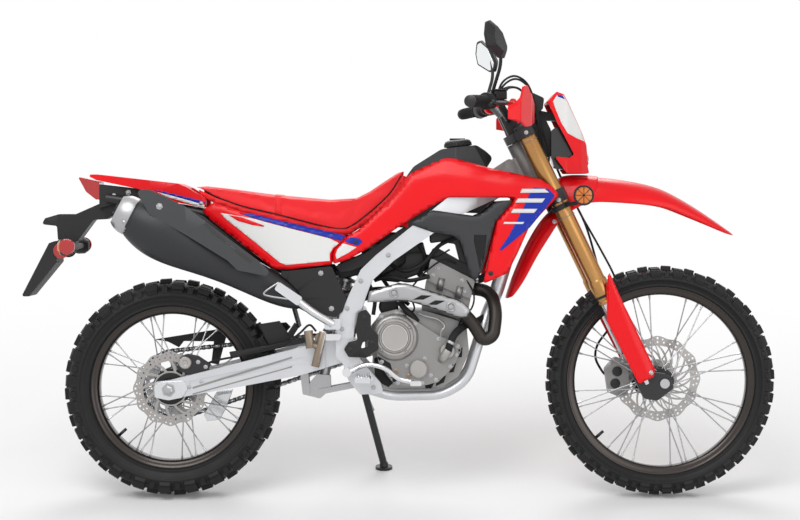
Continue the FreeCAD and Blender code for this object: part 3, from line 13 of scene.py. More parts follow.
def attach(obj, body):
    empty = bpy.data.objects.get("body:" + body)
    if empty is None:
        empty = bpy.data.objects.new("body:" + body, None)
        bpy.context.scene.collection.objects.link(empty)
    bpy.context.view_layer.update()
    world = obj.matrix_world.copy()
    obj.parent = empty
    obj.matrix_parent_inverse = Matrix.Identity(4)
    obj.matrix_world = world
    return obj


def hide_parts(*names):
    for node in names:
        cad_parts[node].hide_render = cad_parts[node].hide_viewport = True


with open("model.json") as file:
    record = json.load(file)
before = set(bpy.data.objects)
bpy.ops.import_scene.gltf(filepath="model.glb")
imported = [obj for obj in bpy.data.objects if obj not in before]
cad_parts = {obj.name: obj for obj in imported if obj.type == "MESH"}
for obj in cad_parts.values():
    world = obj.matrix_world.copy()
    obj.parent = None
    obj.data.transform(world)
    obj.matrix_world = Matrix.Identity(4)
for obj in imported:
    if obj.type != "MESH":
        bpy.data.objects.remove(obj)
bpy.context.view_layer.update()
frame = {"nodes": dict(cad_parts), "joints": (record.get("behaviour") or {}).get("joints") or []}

MM = 0.001
SIDES = (-1, 1)
RIGHT, LEFT, UP = (0, -1, 0), (0, 1, 0), (0, 0, 1)
SPOKES = 32
RIM_DEPTH = 24.0
KNOB_HEIGHT = 12.0
VALVE_TURN = math.radians(222)
RAKE = math.radians(25.8)
AXLE_OFFSET = 75.8
FORK_HALF = 98.0
FORK_U = 30.0
BAR_KNEE = Vector((957.0, 190.0, 1160.0))
BAR_END = Vector((872.0, 405.0, 1149.0))
BAR_WAY = (BAR_KNEE - BAR_END).normalized()
CHAIN_PITCH = 15.875
CHAIN_Y = 72.0
REAR_TEETH = 40
FRONT_TEETH = 13
COUNTERSHAFT = (603.0, 455.0)
CLUTCH = (659.0, 476.0)
FILM = 0.6
FILM_CELL = 6.0
SEAT_PINCH = 0.0035
SEAT_PUFF = 0.006
CLOTH_FRAMES = 20
CAMERA_AT = (0.709, -6.0, 0.861)
CAMERA_LENS = 90.88
CAMERA_SHIFT = (-0.015, -0.06875)
LAMPS = {
    "key": ((-1.4, -3.0, 4.4), 3.0, 120), "fill": ((2.8, -3.8, 1.8), 2.6, 34),
    "rim": ((0.2, 3.4, 3.4), 2.6, 80),
}


class Wheel:
    """One wheel's sizes; its body and nodes are named after its end."""

    def __init__(self, end, x, radius, width, rim_radius, rim_width, pitches, hub_half, flange_radius):
        self.end, self.x, self.radius, self.width = end, x, radius, width
        self.rim_radius, self.rim_width, self.pitches = rim_radius, rim_width, pitches
        self.hub_half, self.flange_radius = hub_half, flange_radius
        self.body = end + "_wheel"
        self.centre = (x, 0, radius)

    def flat(self, r, a):
        """The X and Z of a point at a distance and an angle from the axle."""
        return self.x + r * math.cos(a), self.radius + r * math.sin(a)

    def point(self, r, y, a):
        x, z = self.flat(r, a)
        return Vector((x, y, z))


FRONT = Wheel("front", 1445.0, 341.0, 86.0, 278.0, 52.0, 30, 36.0, 38.0)
REAR = Wheel("rear", 0.0, 322.0, 122.0, 240.0, 70.0, 24, 48.0, 56.0)


def upright_to_row():
    """The rigid move from the upright drawing, in metres, to the row frame."""
    spin = next(j for j in frame["joints"] if j["name"] == "rear_wheel_spin")
    across = Vector(spin["axis"]).normalized()
    ahead = Vector((1, 0, 0))
    turn = Matrix((ahead, across, ahead.cross(across))).transposed().to_4x4()
    return Matrix.Translation(Vector(spin["pos_m"])) @ turn @ Matrix.Translation((0, 0, -REAR.radius * MM))


PLACE = upright_to_row()


def fork_point(u, y, w):
    """A point ahead of the steering axis by u and up it by w, from the front axle's height."""
    return Vector((
        FRONT.x + math.cos(RAKE) * (u - AXLE_OFFSET) - math.sin(RAKE) * w,
        y,
        FRONT.radius + math.sin(RAKE) * (u - AXLE_OFFSET) + math.cos(RAKE) * w,
    ))


# Materials


def node(tree, kind, **inputs):
    made = tree.nodes.new(kind)
    for name, value in inputs.items():
        made.inputs[name.replace("_", " ")].default_value = value
    return made


def mixed(tree, factor, low, high):
    """A mix of two colours, each an output or plain red, green and blue."""
    made = tree.nodes.new("ShaderNodeMix")
    made.data_type = "RGBA"
    tree.links.new(factor, made.inputs[0])
    for value, socket in ((low, made.inputs[6]), (high, made.inputs[7])):
        if isinstance(value, bpy.types.NodeSocket):
            tree.links.new(value, socket)
        else:
            socket.default_value = [*value, 1]
    return made.outputs[2]


def surface(name, colour, rough=(0.3, 0.42), metal=0.0, grain=900.0, bump=0.12, patch=0.10, coat=0.0,
            stretch=(1, 1, 1), wear=0.0, shine=0.5, **extra):
    """A procedural finish: slow colour drift, uneven gloss, fine grain and, with wear, scuffed patches."""
    made = bpy.data.materials.new(name)
    made.use_nodes = True
    tree = made.node_tree
    link = tree.links.new
    shader = tree.nodes["Principled BSDF"]
    place = node(tree, "ShaderNodeTexCoord").outputs["Object"]
    scale = node(tree, "ShaderNodeMapping", Scale=stretch)
    link(place, scale.inputs["Vector"])
    broad = node(tree, "ShaderNodeTexNoise", Scale=9.0, Detail=5.0, Roughness=0.6)
    fine = node(tree, "ShaderNodeTexNoise", Scale=grain, Detail=3.0, Roughness=0.55)
    link(place, broad.inputs["Vector"])
    link(scale.outputs["Vector"], fine.inputs["Vector"])
    tone = mixed(tree, broad.outputs["Fac"], [c * (1 - patch) for c in colour],
                 [min(1, c * (1 + patch)) for c in colour])
    gloss = node(tree, "ShaderNodeMapRange", To_Min=rough[0], To_Max=rough[1], From_Min=0.3, From_Max=0.7)
    link(broad.outputs["Fac"], gloss.inputs["Value"])
    if wear:
        scuff = node(tree, "ShaderNodeTexNoise", Scale=60.0, Detail=8.0, Roughness=0.7)
        link(place, scuff.inputs["Vector"])
        mask = node(tree, "ShaderNodeMapRange", From_Min=0.60, From_Max=0.72, To_Min=0.0, To_Max=wear)
        link(scuff.outputs["Fac"], mask.inputs["Value"])
        tone = mixed(tree, mask.outputs["Result"], tone, [0.35 + 0.4 * c for c in colour])
    link(tone, shader.inputs["Base Color"])
    link(gloss.outputs["Result"], shader.inputs["Roughness"])
    relief = node(tree, "ShaderNodeBump", Strength=bump, Distance=0.0006)
    link(fine.outputs["Fac"], relief.inputs["Height"])
    link(relief.outputs["Normal"], shader.inputs["Normal"])
    values = {"Metallic": metal, "Coat Weight": coat, "Coat Roughness": 0.12, "Specular IOR Level": shine}
    values.update((key.replace("_", " "), value) for key, value in extra.items())
    for key, value in values.items():
        shader.inputs[key].default_value = value
    return made


FILM_LOOK = {"rough": (0.28, 0.38), "grain": 2600, "bump": 0.02}
LENS_LOOK = {"rough": (0.08, 0.16), "coat": 0.6, "bump": 0.05}
RED = surface(
    "red_plastic", (0.8, 0.003, 0.008), (0.26, 0.36), coat=0.1, grain=2600, bump=0.02, patch=0.03,
    shine=0.25,
)
WHITE = surface("white_plastic", (0.72, 0.72, 0.71), coat=0.1, patch=0.015, **FILM_LOOK)
BLUE = surface("blue_film", (0.008, 0.030, 0.36), coat=0.05, patch=0.03, shine=0.25, **FILM_LOOK)
BLACK = surface(
    "black_plastic", (0.012, 0.012, 0.013), (0.42, 0.6), grain=1600, bump=0.35, patch=0.15, shine=0.35,
)
DARK = surface(
    "dark_grey_plastic", (0.034, 0.035, 0.038), (0.38, 0.52), grain=1500, bump=0.3, patch=0.12, shine=0.35,
)
GLOSS_BLACK = surface("gloss_black", (0.015, 0.015, 0.016), (0.10, 0.2), coat=0.5, bump=0.03)
SEAT = surface(
    "seat_cover", (0.82, 0.01, 0.016), (0.46, 0.6), grain=1300, bump=0.4, patch=0.06, shine=0.3,
    Sheen_Weight=0.25,
)
RUBBER = surface("rubber", (0.010, 0.010, 0.010), (0.60, 0.80), grain=1300, bump=0.3, patch=0.2, shine=0.3)
TYRE = surface(
    "tyre_rubber", (0.007, 0.007, 0.0075), (0.46, 0.64), grain=800, bump=0.35, patch=0.25, wear=0.03,
    shine=0.3,
)
SILVER = surface("silver_paint", (0.60, 0.61, 0.63), (0.30, 0.40), 0.6, 1500, 0.08, 0.05)
CAST = surface("cast_aluminium", (0.27, 0.265, 0.26), (0.42, 0.56), 0.75, 1700, 0.45, 0.08)
POLISHED = surface(
    "machined_aluminium", (0.66, 0.67, 0.69), (0.2, 0.32), 0.9, 900, 0.06, 0.05, stretch=(1, 1, 14),
)
STEEL = surface("brushed_steel", (0.42, 0.42, 0.43), (0.24, 0.36), 0.95, 700, 0.12, stretch=(1, 10, 1))
DISC = surface("brake_disc_steel", (0.37, 0.355, 0.345), (0.30, 0.42), 0.9, 500, 0.1)
CHROME = surface("chrome", (0.72, 0.72, 0.74), (0.06, 0.14), 1.0, bump=0.02, patch=0.04)
GOLD = surface("gold_anodised", (0.44, 0.23, 0.08), (0.24, 0.32), 0.9, 2600, 0.012, 0.05)
BRONZE = surface("bronze_metal", (0.27, 0.215, 0.165), (0.32, 0.44), 0.8, bump=0.15)
BLACK_METAL = surface("black_metal", (0.017, 0.017, 0.019), (0.34, 0.48), 0.2, 1400, 0.15, 0.14)
HOT_METAL = surface("header_steel", (0.040, 0.035, 0.032), (0.36, 0.52), 0.8, 500, 0.2, 0.3)
MUFFLER = surface("muffler_coating", (0.024, 0.025, 0.028), (0.36, 0.50), 0.3, 1500, 0.2, 0.12)
AMBER = surface("amber_lens", (0.80, 0.22, 0.01), Transmission_Weight=0.25, **LENS_LOOK)
RED_LENS = surface("red_lens", (0.50, 0.01, 0.012), Transmission_Weight=0.2, **LENS_LOOK)
CLEAR = surface(
    "clear_lens", (0.9, 0.92, 0.94), (0.03, 0.07), bump=0.02, patch=0.01, Transmission_Weight=0.92,
    IOR=1.46,
)
MIRROR = surface("mirror_glass", (0.85, 0.87, 0.88), (0.02, 0.05), 1.0, bump=0.0, patch=0.01)
SATIN_CAP = surface("satin_cap", (0.42, 0.42, 0.43), (0.30, 0.42), 0.8, 1200, 0.15, 0.06)
SHIELD = surface("grey_shield", (0.048, 0.050, 0.054), (0.34, 0.46), 0.3, 1200, 0.12, 0.08)
GLOSS_RIM = surface("black_rim", (0.044, 0.037, 0.034), (0.22, 0.34), 0.85, 1200, 0.06, coat=0.2)
LIGHT_CASE = surface("light_case", (0.40, 0.385, 0.37), (0.32, 0.44), 0.8, 1500, 0.2, 0.06)

# Every CAD node by its body, with its finish and the radius of its softened edges
CARRIED = {
    "frame": {
        "main_frame": (SILVER, 1.5), "frame_guard": (BLACK, 1.5), "subframe": (BLACK_METAL, 0),
        "swingarm": (SILVER, 2.0), "pivot_bolt": (STEEL, 0.6), "rear_axle": (STEEL, 0.8),
        "crankcase": (CAST, 2.0), "engine_covers": (LIGHT_CASE, 1.0), "cylinder": (CAST, 1.5),
        "exhaust_header": (HOT_METAL, 0), "muffler": (MUFFLER, 0), "heat_shields": (STEEL, 0.8),
        "fuel_tank": (DARK, 2.0), "seat": (SEAT, 3.0), "shrouds": (RED, 0.8), "inner_panels": (BLACK, 0.8),
        "side_covers": (RED, 0.8), "tail_cover": (RED, 2.0), "tail_bracket": (BLACK, 2.0),
        "rear_mudguard": (BLACK, 0), "tail_lamp": (RED_LENS, 2.0), "rear_signals": (AMBER, 0.8),
        "rear_shock": (STEEL, 0), "radiator": (BLACK_METAL, 1.0), "chain": (STEEL, 0),
        "rear_caliper": (CAST, 1.0), "footpegs": (POLISHED, 0.8), "brake_pedal": (CHROME, 0.6),
        "gear_lever": (CHROME, 0.6),
    },
    "fork": {
        "triple_clamps": (BLACK_METAL, 1.5), "fork_tubes": (GOLD, 0.6), "fork_legs": (POLISHED, 1.0),
        "fork_guards": (RED, 0.8), "front_mudguard": (RED, 1.0), "headlamp": (GLOSS_BLACK, 2.0),
        "headlamp_cowl": (RED, 1.0), "handlebar": (BLACK_METAL, 0), "grips": (RUBBER, 0.8),
        "switchgear": (BLACK, 0.8), "handguards": (RED, 1.0), "mirrors": (BLACK, 0.8),
        "instrument_panel": (BLACK, 1.5), "front_signals": (AMBER, 0.6), "front_caliper": (CAST, 1.0),
        "front_axle": (STEEL, 0.6),
    },
    "front_wheel": {
        "front_tyre": (TYRE, 0), "front_rim": (GLOSS_RIM, 0.5), "front_hub": (BLACK_METAL, 0),
        "front_disc": (DISC, 0),
    },
    "rear_wheel": {
        "rear_tyre": (TYRE, 0), "rear_rim": (GLOSS_RIM, 0.5), "rear_hub": (BLACK_METAL, 0),
        "rear_disc": (DISC, 0), "rear_sprocket": (STEEL, 0),
    },
    "side_stand": {"side_stand": (BLACK_METAL, 0.6)},
}
BODY_OF = {name: body for body, finishes in CARRIED.items() for name in finishes}


# Mesh building


def catmull(points, steps=8):
    """A smooth curve through the points."""
    pts = [Vector(p) for p in points]
    if len(pts) < 3:
        return pts
    ends = [pts[0] * 2 - pts[1]] + pts + [pts[-1] * 2 - pts[-2]]
    out = []
    for a, b, c, d in zip(ends, ends[1:], ends[2:], ends[3:]):
        for k in range(steps):
            t = k / steps
            out.append(0.5 * ((2 * b) + (c - a) * t + (2 * a - 5 * b + 4 * c - d) * t * t
                              + (3 * b - a - 3 * c + d) * t ** 3))
    return out + [pts[-1]]


def rounded(points, radius, steps=5):
    """A closed flat outline with its corners rounded."""
    out = []
    for i, p in enumerate(points):
        corner = Vector(p)
        back = Vector(points[i - 1]) - corner
        ahead = Vector(points[(i + 1) % len(points)]) - corner
        half = (math.pi - back.angle(ahead)) / 2
        if half < 0.02:
            out.append(corner)
            continue
        cut = min(radius * math.tan(half), 0.46 * min(back.length, ahead.length))
        a, b = corner + back.normalized() * cut, corner + ahead.normalized() * cut
        for k in range(steps + 1):
            t = k / steps
            out.append(a * (1 - t) ** 2 + corner * 2 * t * (1 - t) + b * t * t)
    return out


def round_about(axis, count):
    """Directions all round an axis."""
    side = axis.orthogonal().normalized()
    other = axis.cross(side)
    return [
        side * math.cos(a) + other * math.sin(a) for a in (2 * math.pi * k / count for k in range(count))
    ]


def join_rings(bm, rings, capped=False, closed=True):
    """Faces between rows of corners, which close round into rings or stay open strips."""
    for a, b in zip(rings, rings[1:]):
        n = len(a)
        for k in range(n if closed else n - 1):
            bm.faces.new((a[k], a[(k + 1) % n], b[(k + 1) % n], b[k]))
    if capped:
        bm.faces.new(rings[0][::-1])
        bm.faces.new(rings[-1])


def ring_tube(bm, path, radius, sides=12):
    """Adds a tube along the path to bm; radius may be a list."""
    radii = radius if isinstance(radius, list) else [radius] * len(path)
    side = (path[1] - path[0]).orthogonal().normalized()
    rings = []
    for i, p in enumerate(path):
        ahead = (path[min(i + 1, len(path) - 1)] - path[max(i - 1, 0)]).normalized()
        side = (side - ahead * side.dot(ahead)).normalized()
        other = ahead.cross(side)
        rings.append([
            bm.verts.new(p + (side * math.cos(a) + other * math.sin(a)) * radii[i])
            for a in (2 * math.pi * k / sides for k in range(sides))
        ])
    join_rings(bm, rings, capped=True)


def join_columns(bm, columns):
    """Faces all round between the columns of a turned shape."""
    for a, b in zip(columns, columns[1:] + columns[:1]):
        for i in range(len(a)):
            bm.faces.new((a[i - 1], b[i - 1], b[i], a[i]))


def add_lathe(bm, profile, centre, axis, sides=32):
    """Adds a closed (radius, height) profile turned round an axis."""
    axis = Vector(axis).normalized()
    join_columns(bm, [[bm.verts.new(Vector(centre) + out * max(r, 0.01) + axis * h) for r, h in profile]
                      for out in round_about(axis, sides)])


def add_cell(bm, corners):
    """Adds a six-sided solid; the corners count up in three steps of low and high."""
    verts = [bm.verts.new(c) for c in corners]
    for quad in ((0, 1, 3, 2), (4, 6, 7, 5), (0, 4, 5, 1), (2, 3, 7, 6), (0, 2, 6, 4), (1, 5, 7, 3)):
        bm.faces.new([verts[i] for i in quad])


def add_box(bm, centre, size, tip=0.0, about="Y"):
    """Adds a box, tipped by an angle about one axis."""
    turn = Matrix.Rotation(tip, 3, about)
    half = Vector(size) / 2
    add_cell(bm, [Vector(centre) + turn @ Vector((x * half.x, y * half.y, z * half.z))
                  for x in SIDES for y in SIDES for z in SIDES])


def add_plate(bm, outline, y_low, y_high):
    """Adds a flat outline in X and Z given a thickness across."""
    join_rings(bm, [[bm.verts.new((p[0], y, p[1])) for p in outline] for y in (y_low, y_high)], capped=True)


def add_mirror(bm):
    """Doubles what bm holds across the centre plane."""
    made = bmesh.ops.duplicate(bm, geom=bm.verts[:] + bm.edges[:] + bm.faces[:])["geom"]
    for v in (g for g in made if isinstance(g, bmesh.types.BMVert)):
        v.co.y = -v.co.y
    bmesh.ops.reverse_faces(bm, faces=[g for g in made if isinstance(g, bmesh.types.BMFace)])


def soften(obj, width, angle):
    """Rounds an object's sharp edges."""
    edge = obj.modifiers.new("edge", "BEVEL")
    edge.width = width * MM
    edge.segments = 2
    edge.limit_method = "ANGLE"
    edge.angle_limit = math.radians(angle)
    return edge


def piece(name, bm, material, part, replaces=False, bevel=0.0, subdivide=0, thick=0.0, smooth=True,
          sided=False, mirror=False):
    """Turns bm, in upright millimetres, into a shown piece of a node, or of a body alone.

    The faces of a sided skin look outwards already.
    """
    if mirror:
        add_mirror(bm)
    if not sided:
        bmesh.ops.recalc_face_normals(bm, faces=bm.faces[:])
    bmesh.ops.scale(bm, vec=(MM, MM, MM), verts=bm.verts[:])
    mesh = bpy.data.meshes.new(name)
    bm.to_mesh(mesh)
    bm.free()
    for f in mesh.polygons:
        f.use_smooth = smooth
    obj = bpy.data.objects.new(name, mesh)
    bpy.context.scene.collection.objects.link(obj)
    obj.matrix_world = PLACE
    mesh.materials.append(material)
    if thick:
        shell = obj.modifiers.new("wall", "SOLIDIFY")
        shell.thickness = thick * MM
        shell.offset = -1
    if bevel:
        soften(obj, bevel, 35).harden_normals = True
    if subdivide:
        fine = obj.modifiers.new("fine", "SUBSURF")
        fine.levels = fine.render_levels = subdivide
    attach(obj, BODY_OF.get(part, part))
    if replaces:
        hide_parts(part)
    return obj


def tubes(name, paths, radius, material, part, sides=12, **more):
    """One piece of round tubes through lists of points."""
    bm = bmesh.new()
    for path in paths:
        ring_tube(bm, catmull(path), radius, sides)
    return piece(name, bm, material, part, **more)


def lathes(name, turned, material, part, sides=32, bevel=0.8, **more):
    """One piece of turned shapes, each a profile, a centre and an axis."""
    bm = bmesh.new()
    for profile, centre, axis in turned:
        add_lathe(bm, profile, centre, axis, sides)
    return piece(name, bm, material, part, bevel=bevel, **more)


def plates(name, outlines, material, part, bevel=1.5, **more):
    """One piece of flat shapes, each an outline and its two sides."""
    bm = bmesh.new()
    for outline, y_low, y_high in outlines:
        add_plate(bm, outline, y_low, y_high)
    return piece(name, bm, material, part, bevel=bevel, **more)


def boxes(name, placed, material, part, bevel):
    """One piece of boxes, each a middle, a size and how it is tipped."""
    bm = bmesh.new()
    for centre, size, *tip in placed:
        add_box(bm, centre, size, *tip)
    return piece(name, bm, material, part, bevel=bevel)


def bolts(name, places, radius, body="frame", material=STEEL):
    """Domed hexagon heads on washers, each a place and the way it faces."""
    r = radius
    profile = [
        (0, -1), (r * 1.35, -1), (r * 1.35, 0.8), (r, 0.9), (r * 0.95, 0.55 * r), (r * 0.6, 0.75 * r),
        (0, 0.8 * r),
    ]
    return lathes(name, [
        (profile, at, facing) for at, facing in places
    ], material, body, sides=6, bevel=0.4, smooth=False)


def loft(name, rings, material, part, **more):
    """A closed skin through rings of points."""
    bm = bmesh.new()
    join_rings(bm, [[bm.verts.new(p) for p in ring] for ring in rings], capped=True)
    return piece(name, bm, material, part, **more)


def edge_distance(x, z, outline):
    """How far a point lies from the nearest edge of an outline."""
    best = 1e9
    for i, (ax, az) in enumerate(outline):
        bx, bz = outline[(i + 1) % len(outline)]
        dx, dz = bx - ax, bz - az
        t = ((x - ax) * dx + (z - az) * dz) / (dx * dx + dz * dz + 1e-9)
        t = max(0.0, min(1.0, t))
        best = min(best, math.hypot(x - ax - t * dx, z - az - t * dz))
    return best


def interpolate(line, x):
    """A smooth value along (x, value) points."""
    if x <= line[0][0]:
        return line[0][1]
    for (xa, a), (xb, b) in zip(line, line[1:]):
        if x <= xb:
            t = (x - xa) / (xb - xa)
            t = t * t * (3 - 2 * t) * 0.5 + t * 0.5
            return a + (b - a) * t
    return line[-1][1]


def slice_up(bm, outline, spacing, margin):
    """Cuts the flat outline in bm into small cells."""
    for axis in (0, 2):
        values = [p[axis // 2] for p in outline]
        way = Vector((0, 0, 0))
        way[axis] = 1
        at = min(values) + spacing
        while at < max(values) - margin:
            whole = bm.verts[:] + bm.edges[:] + bm.faces[:]
            bmesh.ops.bisect_plane(bm, geom=whole, plane_co=way * at, plane_no=way)
            at += spacing


def moulded(name, outline, depth, material, part, roll=7.0, thick=3.0, spacing=12.0, mirror=True, **more):
    """A bowed panel: a side outline cut into cells and set out by depth(x, z), its edge rolled in."""
    bm = bmesh.new()
    face = bm.faces.new([bm.verts.new((p[0], 0, p[1])) for p in outline])
    for inset in (0.4, 0.7, 1.0, 1.3, 1.6, 1.6):
        inner = [f for f in bm.faces if len(f.verts) > 4] or [face]
        bmesh.ops.inset_region(bm, faces=inner, thickness=inset, use_even_offset=True)
    slice_up(bm, outline, spacing, 1)
    for v in bm.verts:
        d = edge_distance(v.co.x, v.co.z, outline)
        fall = roll - math.sqrt(max(0.0, roll ** 2 - (roll - min(d, roll)) ** 2))
        v.co.y = fall - depth(v.co.x, v.co.z)
    bmesh.ops.recalc_face_normals(bm, faces=bm.faces[:])
    if sum(f.normal.y for f in bm.faces) > 0:
        bmesh.ops.reverse_faces(bm, faces=bm.faces[:])
    return piece(name, bm, material, part, thick=thick, sided=True, mirror=mirror, **more)


# Laying things on the CAD surfaces


def skin(*names, objects=()):
    """The outer surface of some pieces as a tree for rays, in upright millimetres."""
    verts, faces = [], []
    back = PLACE.inverted()
    for obj in [frame["nodes"][name] for name in names] + list(objects):
        move = back @ obj.matrix_world
        first = len(verts)
        verts += [(move @ v.co) / MM for v in obj.data.vertices]
        faces += [[first + i for i in f.vertices] for f in obj.data.polygons]
    return BVHTree.FromPolygons(verts, faces)


def touch(tree, x, z, side):
    """Where a line straight across first meets a surface, and the way that surface faces."""
    spot, normal, _, _ = tree.ray_cast(Vector((x, side * 700.0, z)), Vector((0, -side, 0)))
    if spot is None:
        return None, Vector((0, side, 0))
    return spot, normal if normal.y * side > 0 else -normal


def decal(name, tree, outlines, material, part, lift=1.2, sides=SIDES):
    """Thin coloured film laid on a surface from each side."""
    bm = bmesh.new()
    for outline in outlines:
        flat = bmesh.new()
        flat.faces.new([flat.verts.new((p[0], 0, p[1])) for p in outline])
        slice_up(flat, outline, FILM_CELL, 0.5)
        flat.verts.index_update()
        for side in sides:
            verts = []
            last = side * 140.0
            for v in flat.verts:
                spot, _ = touch(tree, v.co.x, v.co.z, side)
                last = spot.y if spot else last
                verts.append(bm.verts.new((v.co.x, last + side * lift, v.co.z)))
            for f in flat.faces:
                made = bm.faces.new([verts[v.index] for v in f.verts])
                made.normal_update()
                if made.normal.y * side < 0:
                    made.normal_flip()
        flat.free()
    return piece(name, bm, material, part, thick=FILM, sided=True)


def studs(name, tree, places, radius, body="frame", material=STEEL, sides=SIDES):
    """Bolts set on a surface."""
    found = [touch(tree, x, z, side) for x, z in places for side in sides]
    return bolts(name, [(spot, normal) for spot, normal in found if spot], radius, body, material)


def paint(name, *rules):
    """Gives faces of a CAD node other finishes. A rule is a finish and a test of middle and facing."""
    obj = frame["nodes"][name]
    back = PLACE.inverted() @ obj.matrix_world
    turn = back.to_3x3()
    for material, test in rules:
        obj.data.materials.append(material)
        index = len(obj.data.materials) - 1
        for f in obj.data.polygons:
            if test((back @ f.center) / MM, turn @ f.normal):
                f.material_index = index


def carry(name, material, edge):
    """Shows a CAD node as it is, with a finish and softened edges."""
    obj = frame["nodes"][name]
    obj.data.materials.clear()
    obj.data.materials.append(material)
    if edge:
        obj.modifiers.new("weld", "WELD").merge_threshold = 0.00002
        soften(obj, edge, 30)


# Wheels

# Tread blocks: part of a pitch turned, inner and outer edge, length, height and skew, in shares of the tyre
TREAD = [
    (0, 0.05, 0.3, 0.42, 11.6, 0.12), (0.5, 0.4, 0.66, 0.44, 10.0, -0.15), (0.5, 0.74, 0.965, 0.46, 9.0, 0),
    (0, 0.7, 0.86, 0.2, 5.0, 0),
]
LUGS = [(0.5, 0.46, 0.30, 0.02), (0, 0.22, 0.36, 0.13)]


def tyre(wheel):
    """A carcass with rounded shoulders, blocky tread and flanks below the shoulder blocks."""
    half, rim, body = wheel.width / 2, wheel.rim_radius, wheel.end + "_tyre"
    crown, depth = wheel.radius - KNOB_HEIGHT, wheel.radius - rim
    side = [(crown - drop, wide * half) for drop, wide in (
        (0, 0), (0.4, 0.16), (2.0, 0.34), (0.07 * depth, 0.55), (0.17 * depth, 0.78), (0.30 * depth, 0.92),
        (0.42 * depth, 0.985), (0.50 * depth, 0.99), (0.505 * depth, 0.965),
    )] + [(rim + rise * depth, wide * half) for rise, wide in (
        (0.30, 0.955), (0.16, 0.86), (0.09, 0.80), (0.07, 0.83), (0.03, 0.80),
    )] + [(rim - 1, wheel.rim_width / 2 - 6), (rim - 7, wheel.rim_width / 2 - 7)]
    profile = [(r, -y) for r, y in reversed(side)] + side[1:]
    bm = bmesh.new()
    join_columns(bm, [
        [bm.verts.new(wheel.point(r, y, 2 * math.pi * k / (wheel.pitches * 6))) for r, y in profile]
        for k in range(wheel.pitches * 6)
    ])
    piece(body + "_carcass", bm, TYRE, body, replaces=True)

    def surface_at(y):
        for (ra, ya), (rb, yb) in zip(side, side[1:]):
            if ya <= abs(y) <= yb:
                return ra + (rb - ra) * (abs(y) - ya) / max(yb - ya, 1e-6)
        return side[6][0]

    def block_corner(angle, y, y_middle, s, length, level, height, skew):
        shrink = 1 - 0.10 * level
        across = y_middle + (y - y_middle) * shrink
        along = s * length / 2 * shrink + skew * (across - y_middle)
        slope = 0.10 * half * level * (abs(across) / half) ** 3 * math.copysign(1, y)
        r = surface_at(y) - 1.5 + (height + 1.5) * level
        return wheel.point(r, across + slope, angle + along / wheel.radius)

    pitch = 2 * math.pi / wheel.pitches
    reach = pitch * wheel.radius
    bm = bmesh.new()
    for i in range(wheel.pitches):
        start = (i + 0.25) * pitch
        for side_y in SIDES:
            for turn, low, high, length, height, skew in TREAD:
                edges = (side_y * low * half, side_y * high * half)
                add_cell(bm, [
                    block_corner(
                        start + turn * pitch, y, sum(edges) / 2, s, length * reach, level, height,
                        skew * side_y,
                    )
                    for level in (0, 1) for s in SIDES for y in edges
                ])
            for turn, length, low, high in LUGS:
                angle = start + turn * pitch
                add_cell(bm, [
                    wheel.point(
                        crown - drop * depth, side_y * wide * half,
                        angle + s * length * reach / 2 / wheel.radius,
                    )
                    for drop, wide in ((low, 0.985), (high, 0.955), (low, 0.6), (high, 0.6)) for s in SIDES
                ])
    piece(body + "_tread", bm, TYRE, body, bevel=1.2)


def rim_skin(wheel):
    """The rim with its rolled edges, hollow sides and drop centre."""
    outer, inner = wheel.rim_radius, wheel.rim_radius - RIM_DEPTH
    width, half = wheel.rim_width, wheel.rim_width / 2
    wall = [
        (inner, -0.24 * width), (inner + 1, -0.3 * width), (inner + 6, -half + 5), (inner + 13, -half + 4),
        (outer - 4, -half + 2.4), (outer - 1, -half - 0.2), (outer + 0.8, -half + 1.4),
        (outer - 0.5, -half + 4), (outer - 9, -half + 5),
    ]
    profile = wall + [(outer - 9.5, 0)] + [(r, -y) for r, y in reversed(wall)] + [(inner - 0.6, 0)]
    lathes(
        wheel.end + "_rim_skin", [(profile, wheel.centre, LEFT)], GLOSS_RIM, wheel.end + "_rim", sides=120,
        bevel=0, replaces=True,
    )


def wheel_trim(wheel):
    """Nipples at the rim, where the crossed spokes point to the hub's flanges, and the valve."""
    inner = wheel.rim_radius - RIM_DEPTH
    bm = bmesh.new()
    for i in range(SPOKES):
        side = 1 if i % 2 else -1
        step = i // 2
        a = 2 * math.pi * (step + 0.5 * (side > 0)) / (SPOKES // 2)
        tip = wheel.point(inner + 1, side * 5, a + math.radians(38) * (1 if step % 2 else -1))
        foot = wheel.point(wheel.flange_radius - 5, side * (wheel.hub_half - 3), a)
        way = (foot - tip).normalized()
        ring_tube(bm, [tip, tip + way * 9, tip + way * 15], [3.4, 3.2, 2.2], 8)
    piece(wheel.end + "_nipples", bm, STEEL, wheel.body, bevel=0.4)
    tubes(wheel.end + "_valve", [[
        wheel.point(r, 0, VALVE_TURN) for r in (inner + 2, inner - 28)
    ]], 4.6, BLACK_METAL, wheel.body)


def swept_slot(wheel, inner, outer, a, width, bar, sweep):
    """An opening between two spokes of a disc's carrier, swept round as it goes out."""
    shape = []
    for side, steps in ((-1, range(9)), (1, range(8, -1, -1))):
        for k in steps:
            r = inner + (outer - inner) * k / 8
            shape.append(wheel.flat(r, a + sweep * k / 8 + side * (width / 2 - bar / 2 / r)))
    return shape


